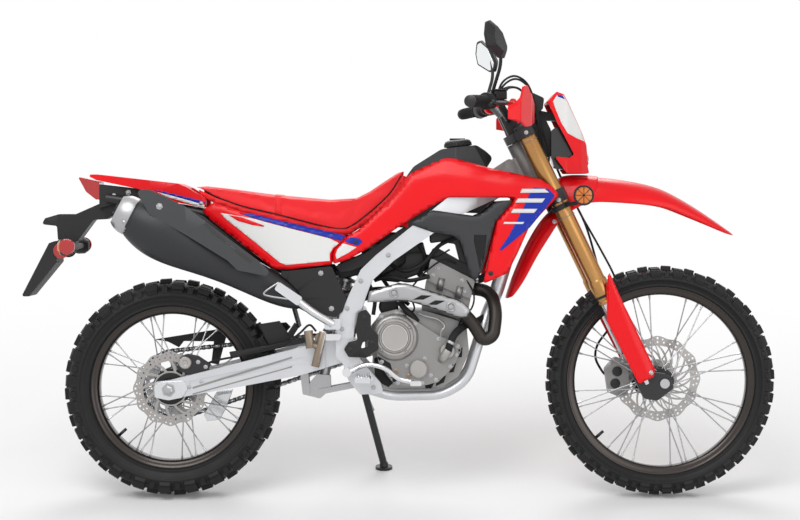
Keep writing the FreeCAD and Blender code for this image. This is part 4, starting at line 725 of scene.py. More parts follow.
def wave_disc(wheel, y, radius, rows, slots, bore, lobes=12):
    """A brake disc with a wavy edge, rows of drilled holes and a slotted carrier, from a flat curve."""
    turns = [2 * math.pi * k / (lobes * 12) for k in range(lobes * 12)]
    shapes = [[wheel.flat(radius - 3.0 + 3.0 * math.cos(lobes * a), a) for a in turns]]
    for r, count, size, turn in ((0, 1, bore, 0),) + rows:
        for k in range(count):
            x, z = wheel.flat(r, 2 * math.pi * (k + turn) / count)
            shapes.append([(x + size * math.cos(math.pi * j / 6), z + size * math.sin(math.pi * j / 6))
                           for j in range(12)])
    inner, outer, count, bar, sweep = slots
    for k in range(count):
        shapes.append(swept_slot(
            wheel, inner, outer, 2 * math.pi * k / count, 2 * math.pi / count, bar, sweep,
        ))
    curve = bpy.data.curves.new(wheel.end + "_disc_outline", "CURVE")
    curve.dimensions = "2D"
    curve.fill_mode = "BOTH"
    curve.extrude = 2.0
    for shape in shapes:
        line = curve.splines.new("POLY")
        line.points.add(len(shape) - 1)
        for point, (x, z) in zip(line.points, shape):
            point.co = (x, z, 0, 1)
        line.use_cyclic_u = True
    flat = bpy.data.objects.new(curve.name, curve)
    mesh = bpy.data.meshes.new_from_object(flat)
    bm = bmesh.new()
    bm.from_mesh(mesh)
    bpy.data.objects.remove(flat)
    bpy.data.curves.remove(curve)
    bpy.data.meshes.remove(mesh)
    for v in bm.verts:
        v.co = (v.co.x, y + 2 + v.co.z, v.co.y)
    bmesh.ops.remove_doubles(bm, verts=bm.verts[:], dist=0.01)
    piece(wheel.end + "_wave_disc", bm, DISC, wheel.end + "_disc", replaces=True, smooth=False)


def wheels():
    """Both wheels' tyres, rims, discs and bolts, and the carrier at the sprocket."""
    wave_disc(FRONT, 52, 128, (
        (121, 12, 3.6, 0), (118, 24, 2.8, 0.5), (109, 36, 3.0, 0),
    ), (58, 99, 20, 7.5, 0.45), 24.5)
    wave_disc(REAR, -72, 110, (
        (103, 12, 3.4, 0), (100, 24, 2.6, 0.5), (91, 36, 2.8, 0),
    ), (52, 82, 12, 8.0, 0.25), 30.5)
    for build in (tyre, rim_skin, wheel_trim):
        for wheel in (FRONT, REAR):
            build(wheel)
    sixths = [math.radians(60 * k) for k in range(6)]
    bolts("front_disc_bolts", [(FRONT.point(34, 56, a), LEFT) for a in sixths], 4.5, "front_wheel")
    bolts("rear_disc_bolts", [(REAR.point(39, -72, a), RIGHT) for a in sixths], 4.5, "rear_wheel")
    lathes("rear_carrier", [([
        (30, 0), (31, 3), (45, 3), (47, 0),
    ], (0, -75, REAR.radius), RIGHT)], BLACK, "rear_wheel", sides=48)
    bolts("sprocket_bolts", [
        (REAR.point(42, 75, a + math.radians(30)), LEFT) for a in sixths
    ], 5, "rear_wheel")


# Chain


def chain_spots():
    """Every pin of the chain as a place and the direction to the next."""
    rear_r = CHAIN_PITCH / (2 * math.sin(math.pi / REAR_TEETH))
    front_r = CHAIN_PITCH / (2 * math.sin(math.pi / FRONT_TEETH))
    rear, front = Vector((REAR.x, REAR.radius)), Vector(COUNTERSHAFT)
    line = front - rear
    base = math.atan2(line.y, line.x)
    spread = math.acos((rear_r - front_r) / line.length)
    run = math.sqrt(line.length ** 2 - (rear_r - front_r) ** 2)
    top, bottom = base + spread, base - spread
    arcs = (front_r * 2 * spread, rear_r * (2 * math.pi - 2 * spread))
    total = 2 * run + sum(arcs)
    count = round(total / CHAIN_PITCH)

    def way(a):
        return Vector((math.cos(a), math.sin(a)))

    def at(d):
        if d < run:
            return (rear + way(top) * rear_r).lerp(front + way(top) * front_r, d / run)
        d -= run
        if d < arcs[0]:
            return front + way(top - d / front_r) * front_r
        d -= arcs[0]
        if d < run:
            return (front + way(bottom) * front_r).lerp(rear + way(bottom) * rear_r, d / run)
        return rear + way(bottom - (d - run) / rear_r) * rear_r

    return [at(total * i / count) for i in range(count)]


def build_chain():
    """Alternate wide and narrow links, and a roller on every pin."""
    pins = chain_spots()
    links, rollers = bmesh.new(), bmesh.new()
    for i, a in enumerate(pins):
        b = pins[(i + 1) % len(pins)]
        along = (b - a).normalized()
        side = Vector((-along.y, along.x))
        shape = []
        for pin, start, waist in ((b, -0.5, 5.4), (a, 0.5, -5.4)):
            for k in range(7):
                t = math.pi * (k / 6 + start)
                shape.append(pin + (along * math.cos(t) + side * math.sin(t)) * 7.0)
            shape.append((a + b) / 2 + side * waist)
        outer = 4.7 if i % 2 else 6.3
        for s in SIDES:
            add_plate(links, shape, *sorted((CHAIN_Y + s * outer, CHAIN_Y + s * (outer - 1.5))))
        add_lathe(rollers, [
            (0, -7.4), (2.4, -7.4), (2.4, -4), (4.9, -4), (4.9, 4), (2.4, 4), (2.4, 7.4), (0, 7.4),
        ], (a.x, CHAIN_Y, a.y), LEFT, 10)
    piece("chain_plates", links, STEEL, "chain", replaces=True)
    piece("chain_rollers", rollers, STEEL, "chain")


# Bodywork

MUDGUARD = [
    ((1665, 770), (1643, 775), 16), ((1600, 816), (1568, 808), 40), ((1540, 856), (1500, 836), 58),
    ((1486, 887), (1456, 855), 70), ((1432, 914), (1394, 863), 76), ((1345, 931), (1320, 868), 78),
    ((1260, 942), (1240, 871), 76), ((1212, 938), (1206, 859), 73), ((1190, 905), (1182, 846), 69),
    ((1158, 866), (1152, 826), 65), ((1112, 840), (1134, 800), 62), ((1072, 788), (1112, 764), 60),
    ((1034, 714), (1073, 704), 58), ((1005, 645), (1040, 636), 56), ((984, 582), (1006, 590), 48),
]
MUDGUARD_ROOF = [
    ((1262, 944), (1240, 872), 77), ((1215, 948), (1204, 863), 75), ((1172, 948), (1176, 854), 71),
    ((1146, 942), (1154, 858), 67), ((1136, 930), (1142, 866), 62),
]
SHROUD = [
    (703, 953), (800, 1001), (822, 1001), (933, 970), (1050, 944), (1087, 934), (1117, 913), (1136, 890),
    (1051, 802), (1015, 721), (985, 663), (914, 631), (955, 814), (1013, 883), (816, 883), (759, 853),
    (675, 800), (568, 727), (525, 703), (480, 689), (478, 716), (484, 733), (503, 752), (524, 773),
    (551, 788), (578, 811), (610, 841), (637, 865), (664, 895), (686, 921),
]
SHROUD_LINE = [(466, 146), (560, 139), (660, 134), (760, 136), (900, 152), (1010, 165), (1140, 178)]
SIDE_COVER = [
    (94, 846), (121, 816), (307, 676), (352, 674), (478.5, 689), (476.5, 716), (482.5, 733), (501.5, 752),
    (522.5, 773), (448, 785), (322, 817), (210, 843), (130, 869),
]
SIDE_LINE = [(90, 110), (220, 130), (360, 142), (480, 140), (590, 132)]
INNER_PANEL = [
    (700, 806), (770, 846), (893, 829), (916, 839), (955, 872), (1004, 876), (950, 812), (912, 668),
    (892, 641), (879, 657), (849, 757), (829, 772), (768, 782),
]
INNER_LINE = [(660, 134), (772, 134), (900, 143), (1010, 153)]
CREST = [(480, 1100), (690, 930), (800, 955), (1000, 925), (1130, 900)]
SEAT_LINE = [(50, 67), (180, 89), (330, 108), (480, 101), (600, 73), (700, 59)]
SKIRT = [
    (84, 906), (135, 882), (210, 856), (322, 829), (448, 797), (519, 791), (578, 832), (645, 893),
    (682, 948), (694, 944), (658, 880), (590, 816), (522, 772), (448, 781), (322, 812), (210, 838),
    (130, 866), (84, 893),
]
# Path of a dark line along the seat's lower edge: painted shade of the gap below the seat.
EDGE_SHADE_LINE = [
    (100, 905), (140, 884), (214, 858), (325, 832), (450, 800), (516, 794), (578, 835), (640, 892),
    (676, 946),
]


def mudguard_strip(name, sections, **more):
    """An arched sheet through sections, each a ridge point, an edge point and half a width."""
    bm = bmesh.new()
    steps = 8
    rows = []
    for (ridge_x, ridge_z), (edge_x, edge_z), half in sections:
        row = []
        for k in range(-steps, steps + 1):
            a = abs(k) / steps * math.pi / 2
            drop = (1 - math.cos(a)) ** 1.3
            z = ridge_z + (edge_z - ridge_z) * drop + 3.0 * math.exp(-(k / 1.6) ** 2)
            across = math.copysign(half * math.sin(a) ** 0.9, k) if k else 0
            row.append(bm.verts.new((ridge_x + (edge_x - ridge_x) * drop, across, z)))
        rows.append(row)
    join_rings(bm, rows, closed=False)
    piece(name, bm, RED, "front_mudguard", thick=3.2, subdivide=2, **more)


def front_mudguard():
    mudguard_strip("mudguard_skin", MUDGUARD, replaces=True)
    mudguard_strip("mudguard_roof", MUDGUARD_ROOF)
    bolts("mudguard_bolts", [((1175, s * 66, 868), (0.3, s, 0.2)) for s in SIDES]
          + [((1128, s * 60, 812), (-0.2, s, 0)) for s in SIDES], 5, "fork")


def shroud_depth(x, z):
    d = interpolate(SHROUD_LINE, x) - 0.06 * (z - 600)
    d -= 0.30 * max(0.0, z - interpolate(CREST, x))
    return d


def bodywork():
    """Shrouds, side covers and inner panels."""
    shroud = moulded(
        "shroud_skins", rounded(SHROUD, 7, 3), shroud_depth, RED, "shrouds", roll=6, thick=3.2,
        replaces=True,
    )
    side = moulded(
        "side_cover_skins", rounded(SIDE_COVER, 7, 3),
        lambda x, z: interpolate(SIDE_LINE, x) - 0.05 * (z - 640), RED, "side_covers", roll=6, thick=3.2,
        replaces=True,
    )
    panel = moulded(
        "inner_panel_skins", rounded(INNER_PANEL, 6, 3), lambda x, z: interpolate(INNER_LINE, x), DARK,
        "inner_panels", roll=4, thick=3.0,
    )
    # Dark film on the inner panel: painted shade where its hole is.
    decal("panel_hole_painted_shade", skin(objects=[panel]), [[
        (889, 775), (925, 774), (921, 721), (906, 672), (899, 707), (889, 754),
    ]], RUBBER, "inner_panels", lift=0.5)
    body_films(skin(objects=[shroud]), skin(objects=[side]), skin("tail_cover"))


def body_films(shroud_tree, side_tree, tail_tree):
    """Coloured film on the shrouds, side covers and tail, and the body's bolts."""
    decal("shroud_blue_film", shroud_tree, [[
        (1062, 912), (1104, 908), (1122, 888), (1098, 854), (1051, 797), (967, 728), (963, 733), (988, 770),
        (1012, 814), (1034, 859), (1050, 895),
    ]], BLUE, "shrouds")
    decal("shroud_white_film", shroud_tree, [
        [(1028, 908), (1093, 908), (1106, 897), (1022, 896)],
        [(1016, 880), (1094, 880), (1085, 868), (1008, 868)],
        [(1002, 850), (1072, 850), (1062, 838), (995, 838)],
        [(976, 812), (1034, 812), (1030, 806), (973, 806)],
    ], WHITE, "shrouds", lift=2.0)
    decal("side_white_film", side_tree, [[
        (150, 838), (245, 822), (315, 803), (411, 779), (470, 764), (497, 750), (479, 736), (470, 718),
        (471, 699), (344, 687), (325, 694), (282, 729), (212, 785), (164, 822),
    ]], WHITE, "side_covers")
    decal("side_blue_film", side_tree, [[
        (207, 838), (245, 835), (325, 816), (417, 795), (500, 776), (516, 771), (503, 757), (411, 781),
        (315, 805), (245, 824),
    ]], BLUE, "side_covers", lift=2.2)
    decal("side_red_film", side_tree, [[
        (175, 832), (212, 826), (250, 812), (280, 801), (277, 798), (245, 803), (202, 815),
    ]], RED, "side_covers", lift=3.0)
    decal("shroud_rear_film", shroud_tree, [[
        (530, 768), (556, 764), (566, 754), (552, 742), (512, 755),
    ]], BLUE, "shrouds")
    decal("shroud_rear_white_film", shroud_tree, [[
        (508, 750), (548, 738), (524, 722), (490, 704), (487, 716), (493, 733),
    ]], WHITE, "shrouds")
    decal("tail_blue_film", tail_tree, [[
        (-48, 905), (-25, 902), (84, 876), (102, 871), (102, 863), (60, 873), (-10, 893),
    ]], BLUE, "tail_cover")
    decal("tail_white_film", tail_tree, [[
        (-38, 899), (30, 882), (102, 861), (102, 853), (60, 864), (-10, 885),
    ]], WHITE, "tail_cover")
    studs("shroud_bolts", shroud_tree, [(937, 663), (545, 753)], 6, material=BLACK_METAL)
    studs("tail_bolts", tail_tree, [(92, 866)], 6)
    studs("tail_bracket_bolts", skin("tail_bracket"), [(-127, 898), (-170, 888)], 6)
    studs("panel_bolts", skin("inner_panels"), [(444, 663), (475, 560)], 6)


def padded_seat():
    """The seat cover, drawn in a little and puffed out again by a short cloth run."""
    scene = bpy.context.scene
    pad = bpy.data.objects.new("seat_pad", frame["nodes"]["seat"].data.copy())
    scene.collection.objects.link(pad)
    pad.data.materials.clear()
    pad.data.materials.append(SEAT)
    even = pad.modifiers.new("even", "REMESH")
    even.mode = "VOXEL"
    even.voxel_size = 0.006
    mesh = bpy.data.meshes.new_from_object(pad.evaluated_get(bpy.context.evaluated_depsgraph_get()))
    pad.modifiers.clear()
    pad.data = mesh
    start = [v.co - v.normal * SEAT_PINCH for v in mesh.vertices]
    pinned = [v.index for v in mesh.vertices if v.normal.z < -0.3]
    for v, co in zip(mesh.vertices, start):
        v.co = co
    pad.vertex_groups.new(name="base").add(pinned, 1.0, "REPLACE")
    cloth = pad.modifiers.new("cloth", "CLOTH")
    cloth.settings.use_pressure = True
    cloth.settings.uniform_pressure_force = 4.0
    cloth.settings.effector_weights.gravity = 0.0
    cloth.settings.vertex_group_mass = "base"
    cloth.settings.quality = 5
    cloth.settings.tension_stiffness = 40
    cloth.settings.bending_stiffness = 8
    cloth.point_cache.frame_start = 1
    cloth.point_cache.frame_end = CLOTH_FRAMES
    for f in range(1, CLOTH_FRAMES + 1):
        scene.frame_set(f)
    puffed = pad.evaluated_get(bpy.context.evaluated_depsgraph_get()).to_mesh()
    moved = [v.co.copy() for v in puffed.vertices]
    pad.modifiers.clear()
    scene.frame_set(1)
    for v, old, new in zip(mesh.vertices, start, moved):
        step = new - old
        v.co = old + step * min(1.0, SEAT_PUFF / max(step.length, 1e-9))
    fine = pad.modifiers.new("fine", "SUBSURF")
    fine.levels = fine.render_levels = 1
    for f in mesh.polygons:
        f.use_smooth = True
    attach(pad, "frame")
    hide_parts("seat")
    return pad


def seat_trim(pad):
    """The strap across the seat, a dark line of painted shade along its edges and the skirt down to the
    covers.
    """
    tree = skin(objects=[pad])
    bm = bmesh.new()
    rings = []
    for along, lift in ((-11, 0.3), (-10, 1.9), (10, 1.9), (11, 0.3)):
        ring = []
        middle = Vector((318 + along, 0, 850))
        for k in range(33):
            a = math.radians(-32 + 244 * k / 32)
            out = Vector((0, math.cos(a), math.sin(a)))
            spot = tree.ray_cast(middle, out)[0] or middle + out * 40
            ring.append(bm.verts.new(spot + out * lift))
        rings.append(ring)
    join_rings(bm, rings, closed=False)
    piece("seat_strap", bm, SEAT, "seat", thick=1.2)
    # A thin black tube along the seat's edges: painted shade of the gap.
    bm = bmesh.new()
    for side in SIDES:
        spots = [touch(tree, x, z, side)[0] for x, z in EDGE_SHADE_LINE]
        ring_tube(bm, catmull([spot + Vector((0, side * 0.6, 0)) for spot in spots if spot]), 1.6, 8)
    piece("seat_edge_shade_line", bm, RUBBER, "seat")
    moulded("seat_skirt", SKIRT, lambda x, z: interpolate(SEAT_LINE, x), SEAT, "seat", roll=1.0, thick=2.0)


def mirror_glass():
    """Each mirror's glass, set just proud of its shell's open side."""
    back = Vector((1, -0.52, 0.1)).normalized()
    wide = Vector((-0.45, -0.86, 0.16))
    wide = (wide - back * wide.dot(back)).normalized()
    tall = back.cross(wide)
    middle = Vector((938, -322, 1324))
    outline = rounded([
        (34, -50), (56, -42), (64, -4), (50, 30), (-28, 46), (-58, 40), (-62, 16), (-18, -32),
    ], 12)
    loft("mirror_glass", [
        [middle + back * depth + wide * (p.x * size) + tall * (p.y * size) for p in outline]
        for depth, size in ((0.6, 0.86), (-0.8, 0.86), (-1.4, 0.83))
    ], MIRROR, "mirrors", mirror=True)


def tank_details():
    """The ribbed filler cap, and the tank's painted parts."""
    top = Vector((846, 0, 1032))
    up = Vector((-0.1, 0, 1)).normalized()
    bm = bmesh.new()
    add_lathe(bm, [
        (0, 22), (26, 22), (30, 20), (36, 15), (39, 10), (39.5, 8), (41, 7), (41, 3), (36, 2), (0, 2),
    ], top, up, 48)
    for out in round_about(up, 24):
        ring_tube(bm, [top + out * 40.0 + up * 3.5, top + out * 38.5 + up * 14], 2.2, 6)
    add_box(bm, top + up * 24, (46, 10, 6))
    piece("tank_cap", bm, BLACK, "fuel_tank", bevel=1.0)
    paint("fuel_tank", (RUBBER, lambda c, n: c.x > 898),
          (RED, lambda c, n: c.x < 690 and c.z > 815 and abs(n.y) > 0.5))


# Engine and exhaust


def exhaust_details():
    """The pipe's guard, the muffler's shield, their screws and the outlet."""
    paint("muffler", (SATIN_CAP, lambda c, n: (c.x + 77) * -104 + (c.z - 880) * 51 > -150))
    paint("heat_shields", (SHIELD, lambda c, n: c.x < 450))
    shield = skin("heat_shields")
    # The CAD guard under the new one is painted black: painted shade behind its slots.
    paint("heat_shields", (BLACK_METAL, lambda c, n: c.x > 560))
    guard = moulded("header_guard", [
        (579, 579), (586, 610), (619, 621), (662, 633), (690, 634), (720, 626), (767, 610), (840, 588),
        (864, 574), (879, 556), (870, 534), (847, 533), (781, 558), (708, 580), (666, 583), (619, 580),
    ], lambda x, z: 154, SATIN_CAP, "heat_shields", roll=9.0, thick=1.6, spacing=8.0, mirror=False)
    # Dark film in the guard's slots: painted shade in the openings.
    decal("guard_slot_shade", skin(objects=[guard]), [
        [(711, 587), (736, 600), (767, 599), (742, 587)], [(752, 572), (776, 585), (806, 584), (781, 572)],
    ], RUBBER, "heat_shields", sides=(-1,), lift=0.5)
    lathes("guard_bosses", [
        ([(7, -2), (8.5, 1.2), (11, 3.2), (13.5, 2.8), (15, 0), (15, -3)], (x, -154, z), RIGHT)
        for x, z in ((657, 606), (822, 566))
    ], STEEL, "heat_shields")
    bolts("guard_screws", [((x, -154.5, z), RIGHT) for x, z in ((657, 606), (822, 566))], 5.5)
    studs("shield_bolts", shield, [(-16, 857)], 7.5, sides=(-1,))
    studs("cap_bolts", skin("muffler"), [(-119, 812)], 6, sides=(-1,))
    # Dark film in the shield's slots: painted shade in the openings.
    decal("shield_slot_shade", shield, [
        [(106, 813), (118, 808), (176, 757), (170, 753), (138, 778)],
        [(184, 746), (202, 738), (252, 700), (243, 697), (214, 716)],
    ], GLOSS_BLACK, "heat_shields", sides=(-1,), lift=0.7)
    tubes("muffler_outlet", [[
        (-112, -95, 836), (-150, -100, 850), (-158, -101, 854),
    ]], 17, BLACK_METAL, "muffler", sides=24)


def case_details():
    """Bolts, painted shade in pockets and gaps, rims, caps and lines on the crankcase and its covers."""
    cases = skin("crankcase")
    covers = skin("engine_covers")
    rim_places = [
        (621, 535), (664, 548), (718, 515), (786, 471), (842, 450), (838, 425), (820, 391), (779, 352),
        (739, 343), (668, 343), (647, 366), (621, 404), (613, 439), (614, 478),
    ]
    studs("case_bolts", cases, rim_places, 5, sides=(-1,))
    studs("generator_bolts", cases, [
        (752 + 54 * math.cos(a), 440 + 54 * math.sin(a)) for a in (0.3, 1.35, 2.4, 3.45, 4.5, 5.55)
    ], 5, sides=(1,))
    ring = [(CLUTCH[0] + 53 * math.cos(a), CLUTCH[1] + 53 * math.sin(a)) for a in (0.6, 2.2, 3.9, 5.4)]
    # Dark film on the crankcase: painted shade in its pockets and along the gaps round its covers.
    decal("case_painted_shade", cases, [
        [(844, 440), (857, 444), (855, 416), (844, 416)], [(823, 395), (838, 398), (831, 373), (818, 370)],
        [(781, 349), (809, 363), (802, 342), (778, 331)], [(745, 335), (774, 342), (767, 327), (749, 324)],
        [(598, 412), (612, 420), (646, 400), (650, 386), (664, 350), (640, 328), (612, 344), (600, 366)],
    ], RUBBER, "crankcase", sides=(-1,), lift=0.4)
    studs("clutch_bolts", covers, ring, 4.5, sides=(-1,))
    studs("filter_bolts", cases, [(746, 414), (694, 393), (764, 365)], 5, sides=(-1,))
    lathes("cover_rims", [
        ([
            (50, -4), (70, -4), (70, 10), (68, 18), (62, 25), (56, 28.6), (50, 29),
        ], (CLUTCH[0], -101, CLUTCH[1]), RIGHT),
        ([(13, 0), (14, 1.6), (16, 1.6), (17, 0)], (728, -120, 384), RIGHT),
    ], LIGHT_CASE, "engine_covers", sides=72)
    lathes("oil_filler_cap", [([
        (0, 0), (13, 0), (13, 9), (10, 11), (0, 11),
    ], (684, -106, 531), RIGHT)], RUBBER, "crankcase")
    tubes("oil_line", [[
        (728, -108, 546), (746, -110, 538), (782, -114, 529), (800, -117, 516), (803, -118, 504),
        (794, -118, 492), (794, -112, 468),
    ]], 2.8, STEEL, "crankcase")
    tubes("breather_hose", [[
        (672, -96, 578), (690, -108, 556), (708, -110, 540), (724, -104, 520),
    ]], 9, RUBBER, "crankcase")
    tubes("pump_elbow", [[
        (796, -112, 412), (800, -128, 418), (808, -136, 430), (814, -137, 440),
    ]], 13, LIGHT_CASE, "engine_covers", sides=20)


def head_details():
    """The cylinder's bosses, bolts, hoses and cover, with the starter, clutch rings and plugs."""
    tubes("head_bosses", [
        [(797, -73, 646), (789, -73, 612)], [(851, -73, 622), (843, -73, 588)],
    ], 10, CAST, "cylinder", mirror=True, sides=20)
    lathes("starter_motor", [([
        (0, 0), (24, 0), (29, 4), (29, 100), (24, 104), (0, 104),
    ], (640, -56, 562), LEFT)], BLACK_METAL, "crankcase")
    studs("head_bolts", skin("cylinder"), [
        (784, 676), (856, 640), (770, 655), (862, 606), (800, 566), (858, 548),
    ], 5)
    lathes("clutch_rings", [
        ([(36, 0), (38, 0), (38, 1.5), (36, 1.5)], (CLUTCH[0], -138.2, CLUTCH[1]), RIGHT),
        ([(54, 0), (57, 0), (57, 1.2), (54, 1.2)], (CLUTCH[0], -130.4, CLUTCH[1]), RIGHT),
    ], POLISHED, "engine_covers", sides=64, bevel=0.3)
    lathes("oil_plugs", [
        ([(0, 0), (9, 0), (9, 3), (6, 4), (6, 7), (0, 7)], (662, -116, 376), RIGHT),
        ([(0, 0), (8, 0), (8, 3), (5, 4), (5, 6), (0, 6)], (700, -116, 362), RIGHT),
    ], BRONZE, "crankcase", sides=6)
    tubes("water_hose", [[
        (814, -134, 437), (818, -141, 452), (828, -139, 478), (846, -120, 498), (872, -96, 512),
        (902, -70, 520), (938, -48, 540),
    ]], 11, RUBBER, "cylinder", sides=16)
    tubes("upper_hose", [[
        (884, 20, 640), (912, 26, 640), (938, 34, 655), (952, 60, 680), (962, 84, 700),
    ]], 12, RUBBER, "cylinder", sides=16)
    lathes("hose_clamps", [
        ([(11.2, -4), (13, -4), (13, 4), (11.2, 4)], (821, -140.5, 462), (0.5, 0.1, 1)),
        ([(12.2, -4), (14, -4), (14, 4), (12.2, 4)], (900, 24, 640), (1, 0.2, 0)),
    ], STEEL, "cylinder")
    boxes("cover_ribs", [
        ((806, y, 704), (60, 5, 10), math.radians(28)) for y in (-56, -28, 0, 28, 56)
    ], BLACK, "cylinder", 1.5)
    paint("cylinder", (BLACK, lambda c, n: (c.x - 764) * 66 + (c.z - 706) * 131 > -400))


def intake_details():
    """The throttle body, the air box and its ducts, the ducts partly painted shade behind the frame, with the
    hoses, wires and horn round them.
    """
    lathes("throttle_body", [([
        (0, 0), (24, 0), (24, 18), (28, 20), (28, 30), (22, 32), (22, 60), (27, 62), (27, 78), (0, 78),
    ], (768, 0, 680), (-1, 0, 0.35))], BLACK_METAL, "cylinder")
    loft("air_box", [
        [(x, y * w, z) for y, z in ((-1, low), (-1, high), (1, high), (1, low))]
        for x, w, low, high in (
            (560, 50, 640, 735), (600, 70, 640, 770), (660, 68, 670, 782), (696, 40, 690, 740),
        )
    ], BLACK, "inner_panels", bevel=10)
    plates("duct_sides", [([
        (484, 682), (570, 720), (680, 792), (722, 800), (742, 786), (664, 742), (600, 694), (530, 668),
        (500, 664),
    ], -98, -94)], BLACK, "inner_panels", mirror=True)
    # Black plates: partly the intake duct and covers, partly painted shade filling the dark depths behind the
    # frame and engine.
    plates("intake_duct_and_shade", [
        ([
            (600, 640), (640, 692), (668, 707), (696, 734), (742, 752), (755, 700), (744, 672), (730, 657),
            (700, 646), (668, 632),
        ], -42, 42), ([(862, 884), (905, 884), (968, 884), (934, 860), (908, 836), (866, 838)], -30, 30),
        ([(484, 664), (500, 700), (560, 712), (572, 690), (552, 655), (500, 640)], -34, 34),
        ([(760, 786), (848, 770), (874, 682), (850, 694), (836, 746), (790, 752), (762, 748)], -60, 60),
    ], BLACK_METAL, "inner_panels", bevel=5)
    hoses = [
        [(640, -60, 690), (690, -84, 668), (742, -80, 690), (790, -70, 742), (850, -60, 770)],
        [(600, -70, 640), (640, -90, 650), (700, -96, 640), (760, -88, 652)],
        [(690, -50, 760), (730, -64, 742), (748, -60, 700), (730, -50, 650)],
        [(868, -64, 800), (876, -72, 760), (886, -70, 710), (900, -60, 660)],
        [(570, -60, 700), (580, -86, 640), (600, -96, 590), (596, -100, 540)],
        [(650, 70, 700), (700, 86, 668), (760, 80, 650), (800, 74, 720)],
        [(620, 64, 640), (650, 92, 600), (700, 96, 560)],
    ]
    tubes("engine_hoses", hoses, 6, RUBBER, "inner_panels", sides=10)
    wires = [
        [(610, -74, 720), (660, -92, 706), (720, -78, 722), (776, -64, 708), (820, -60, 730)],
        [(640, -84, 600), (700, -90, 615), (742, -92, 660), (800, -76, 700), (838, -66, 690)],
        [(700, -88, 600), (716, -94, 560), (700, -100, 540)],
        [(870, -70, 640), (890, -80, 600), (884, -90, 560), (850, -104, 520), (836, -112, 470)],
    ]
    tubes("engine_wires", wires, 2.6, RUBBER, "inner_panels", sides=8)
    lathes("horn", [([
        (0, 0), (20, 0), (24, 4), (24, 14), (18, 20), (0, 20),
    ], (672, -100, 738), (0.1, -1, 0.1))], BLACK_METAL, "inner_panels")


# Frame, fork and bar

FORK_UP = (fork_point(0, 0, 100) - fork_point(0, 0, 0)).normalized()
LEVER = [(20, 0, -2), (48, 10, -4), (40, 50, -8), (22, 100, -10), (8, 138, -8), (8, 148, -8)]


def painted_parts():
    """CAD nodes with parts of their faces in another finish."""
    paint("main_frame", (CAST, lambda c, n: c.x > 925 and c.z > 900))
    paint("headlamp_cowl", (WHITE, lambda c, n: n.x > 0.45 and c.z > 1046))
    paint("front_hub", (STEEL, lambda c, n: math.hypot(c.x - FRONT.x, c.z - FRONT.radius) > 46))
    paint("rear_hub", (STEEL, lambda c, n: math.hypot(c.x, c.z - REAR.radius) > 63))
    paint("brake_pedal", (BRONZE, lambda c, n: c.x < 450 and c.z > 384))
    paint("front_signals", (BLACK, lambda c, n: abs(c.y) < 174))
    paint("fork_legs", (BLACK_METAL, lambda c, n: c.z < 402))
    paint("rear_signals", (BLACK, lambda c, n: c.x > -311))
    paint("tail_bracket",
          (RED_LENS, lambda c, n: abs(c.y) > 60.5 and abs(c.x + 322) < 30 and abs(n.y) > 0.5))


def frame_details():
    """Bolts of the frame and its guards."""
    studs("frame_bolts", skin("main_frame"), [
        (505, 500), (520, 560), (560, 640), (640, 715), (597, 330), (566, 420),
    ], 6)
    studs(
        "guard_bolts", skin("frame_guard"), [(570, 535), (530, 442), (592, 462)], 6, sides=(-1,),
        material=BLACK_METAL,
    )


def swingarm_details():
    """Axle blocks and nuts, darker strips of painted shade for the arm's grooves, its slider, the chain's
    guards and the mud wing.
    """
    studs("arm_bolts", skin("swingarm"), [(60, 330), (95, 345)], 5)
    block = rounded([(-40, 300), (-42, 334), (-22, 347), (44, 350), (56, 326), (40, 300), (0, 292)], 9)
    plates("axle_blocks", [(block, -121.5, -117.2), (block, 117.2, 121.5)], POLISHED, "swingarm")
    bolts("axle_nuts", [((0, -124, REAR.radius), RIGHT), ((0, 124, REAR.radius), LEFT)], 15)
    # Darker strips on the arm: painted shade of its grooves.
    plates("arm_groove_shade", [
        ([(70, 331), (360, 420), (360, 414), (70, 325)], -117.6, -116.8),
        ([(70, 312), (360, 392), (360, 388), (70, 308)], -117.6, -116.8),
    ], CAST, "swingarm", mirror=True, bevel=0.2)
    plates("arm_slider", [([
        (176, 432), (300, 453), (405, 476), (409, 462), (300, 438), (180, 418),
    ], -112, -92)], BLACK, "swingarm")
    plates("chain_guard", [([
        (-67, 456), (118, 486), (330, 508), (344, 494), (330, 478), (149, 462), (127, 380), (104, 384),
        (112, 450), (22, 451), (7, 432), (-26, 449),
    ], 84, 88)], BLACK, "swingarm")
    guide = [(122, 300), (171, 306), (150, 250), (132, 217), (94, 212), (85, 231)]
    plates("chain_guide", [
        (guide, 59.5, 61.5), (guide, 82, 84), ([(124, 288), (168, 296), (170, 306), (124, 300)], 59.5, 94),
    ], POLISHED, "swingarm")
    plates("mud_wing", [
        ([(258, 511), (320, 521), (330, 508), (356, 470), (352, 447), (291, 447)], -71, -68),
        ([(340, 480), (356, 470), (376, 500), (364, 516)], -71, -50),
    ], BLACK, "rear_mudguard")


def rear_brake_details():
    """The rear caliper's body, pot, bolts and line."""
    plates("caliper_body", [([
        (26, 380), (30, 416), (52, 426), (84, 420), (120, 396), (112, 372), (60, 362),
    ], -97, -81)], BLACK_METAL, "rear_caliper", bevel=3)
    lathes("caliper_pot", [([
        (0, 0), (19, 0), (19, 5), (16, 8), (8, 8), (7, 6), (0, 6),
    ], (46, -96, 400), RIGHT)], LIGHT_CASE, "rear_caliper")
    bolts("caliper_bolts", [((84, -97, 402), RIGHT), ((106, -97, 388), RIGHT)], 5)
    tubes("rear_brake_line", [[
        (430, -124, 494), (410, -130, 512), (380, -128, 486), (330, -122, 452), (220, -112, 424),
        (140, -100, 408), (112, -88, 398),
    ]], 3.2, RUBBER, "rear_caliper")


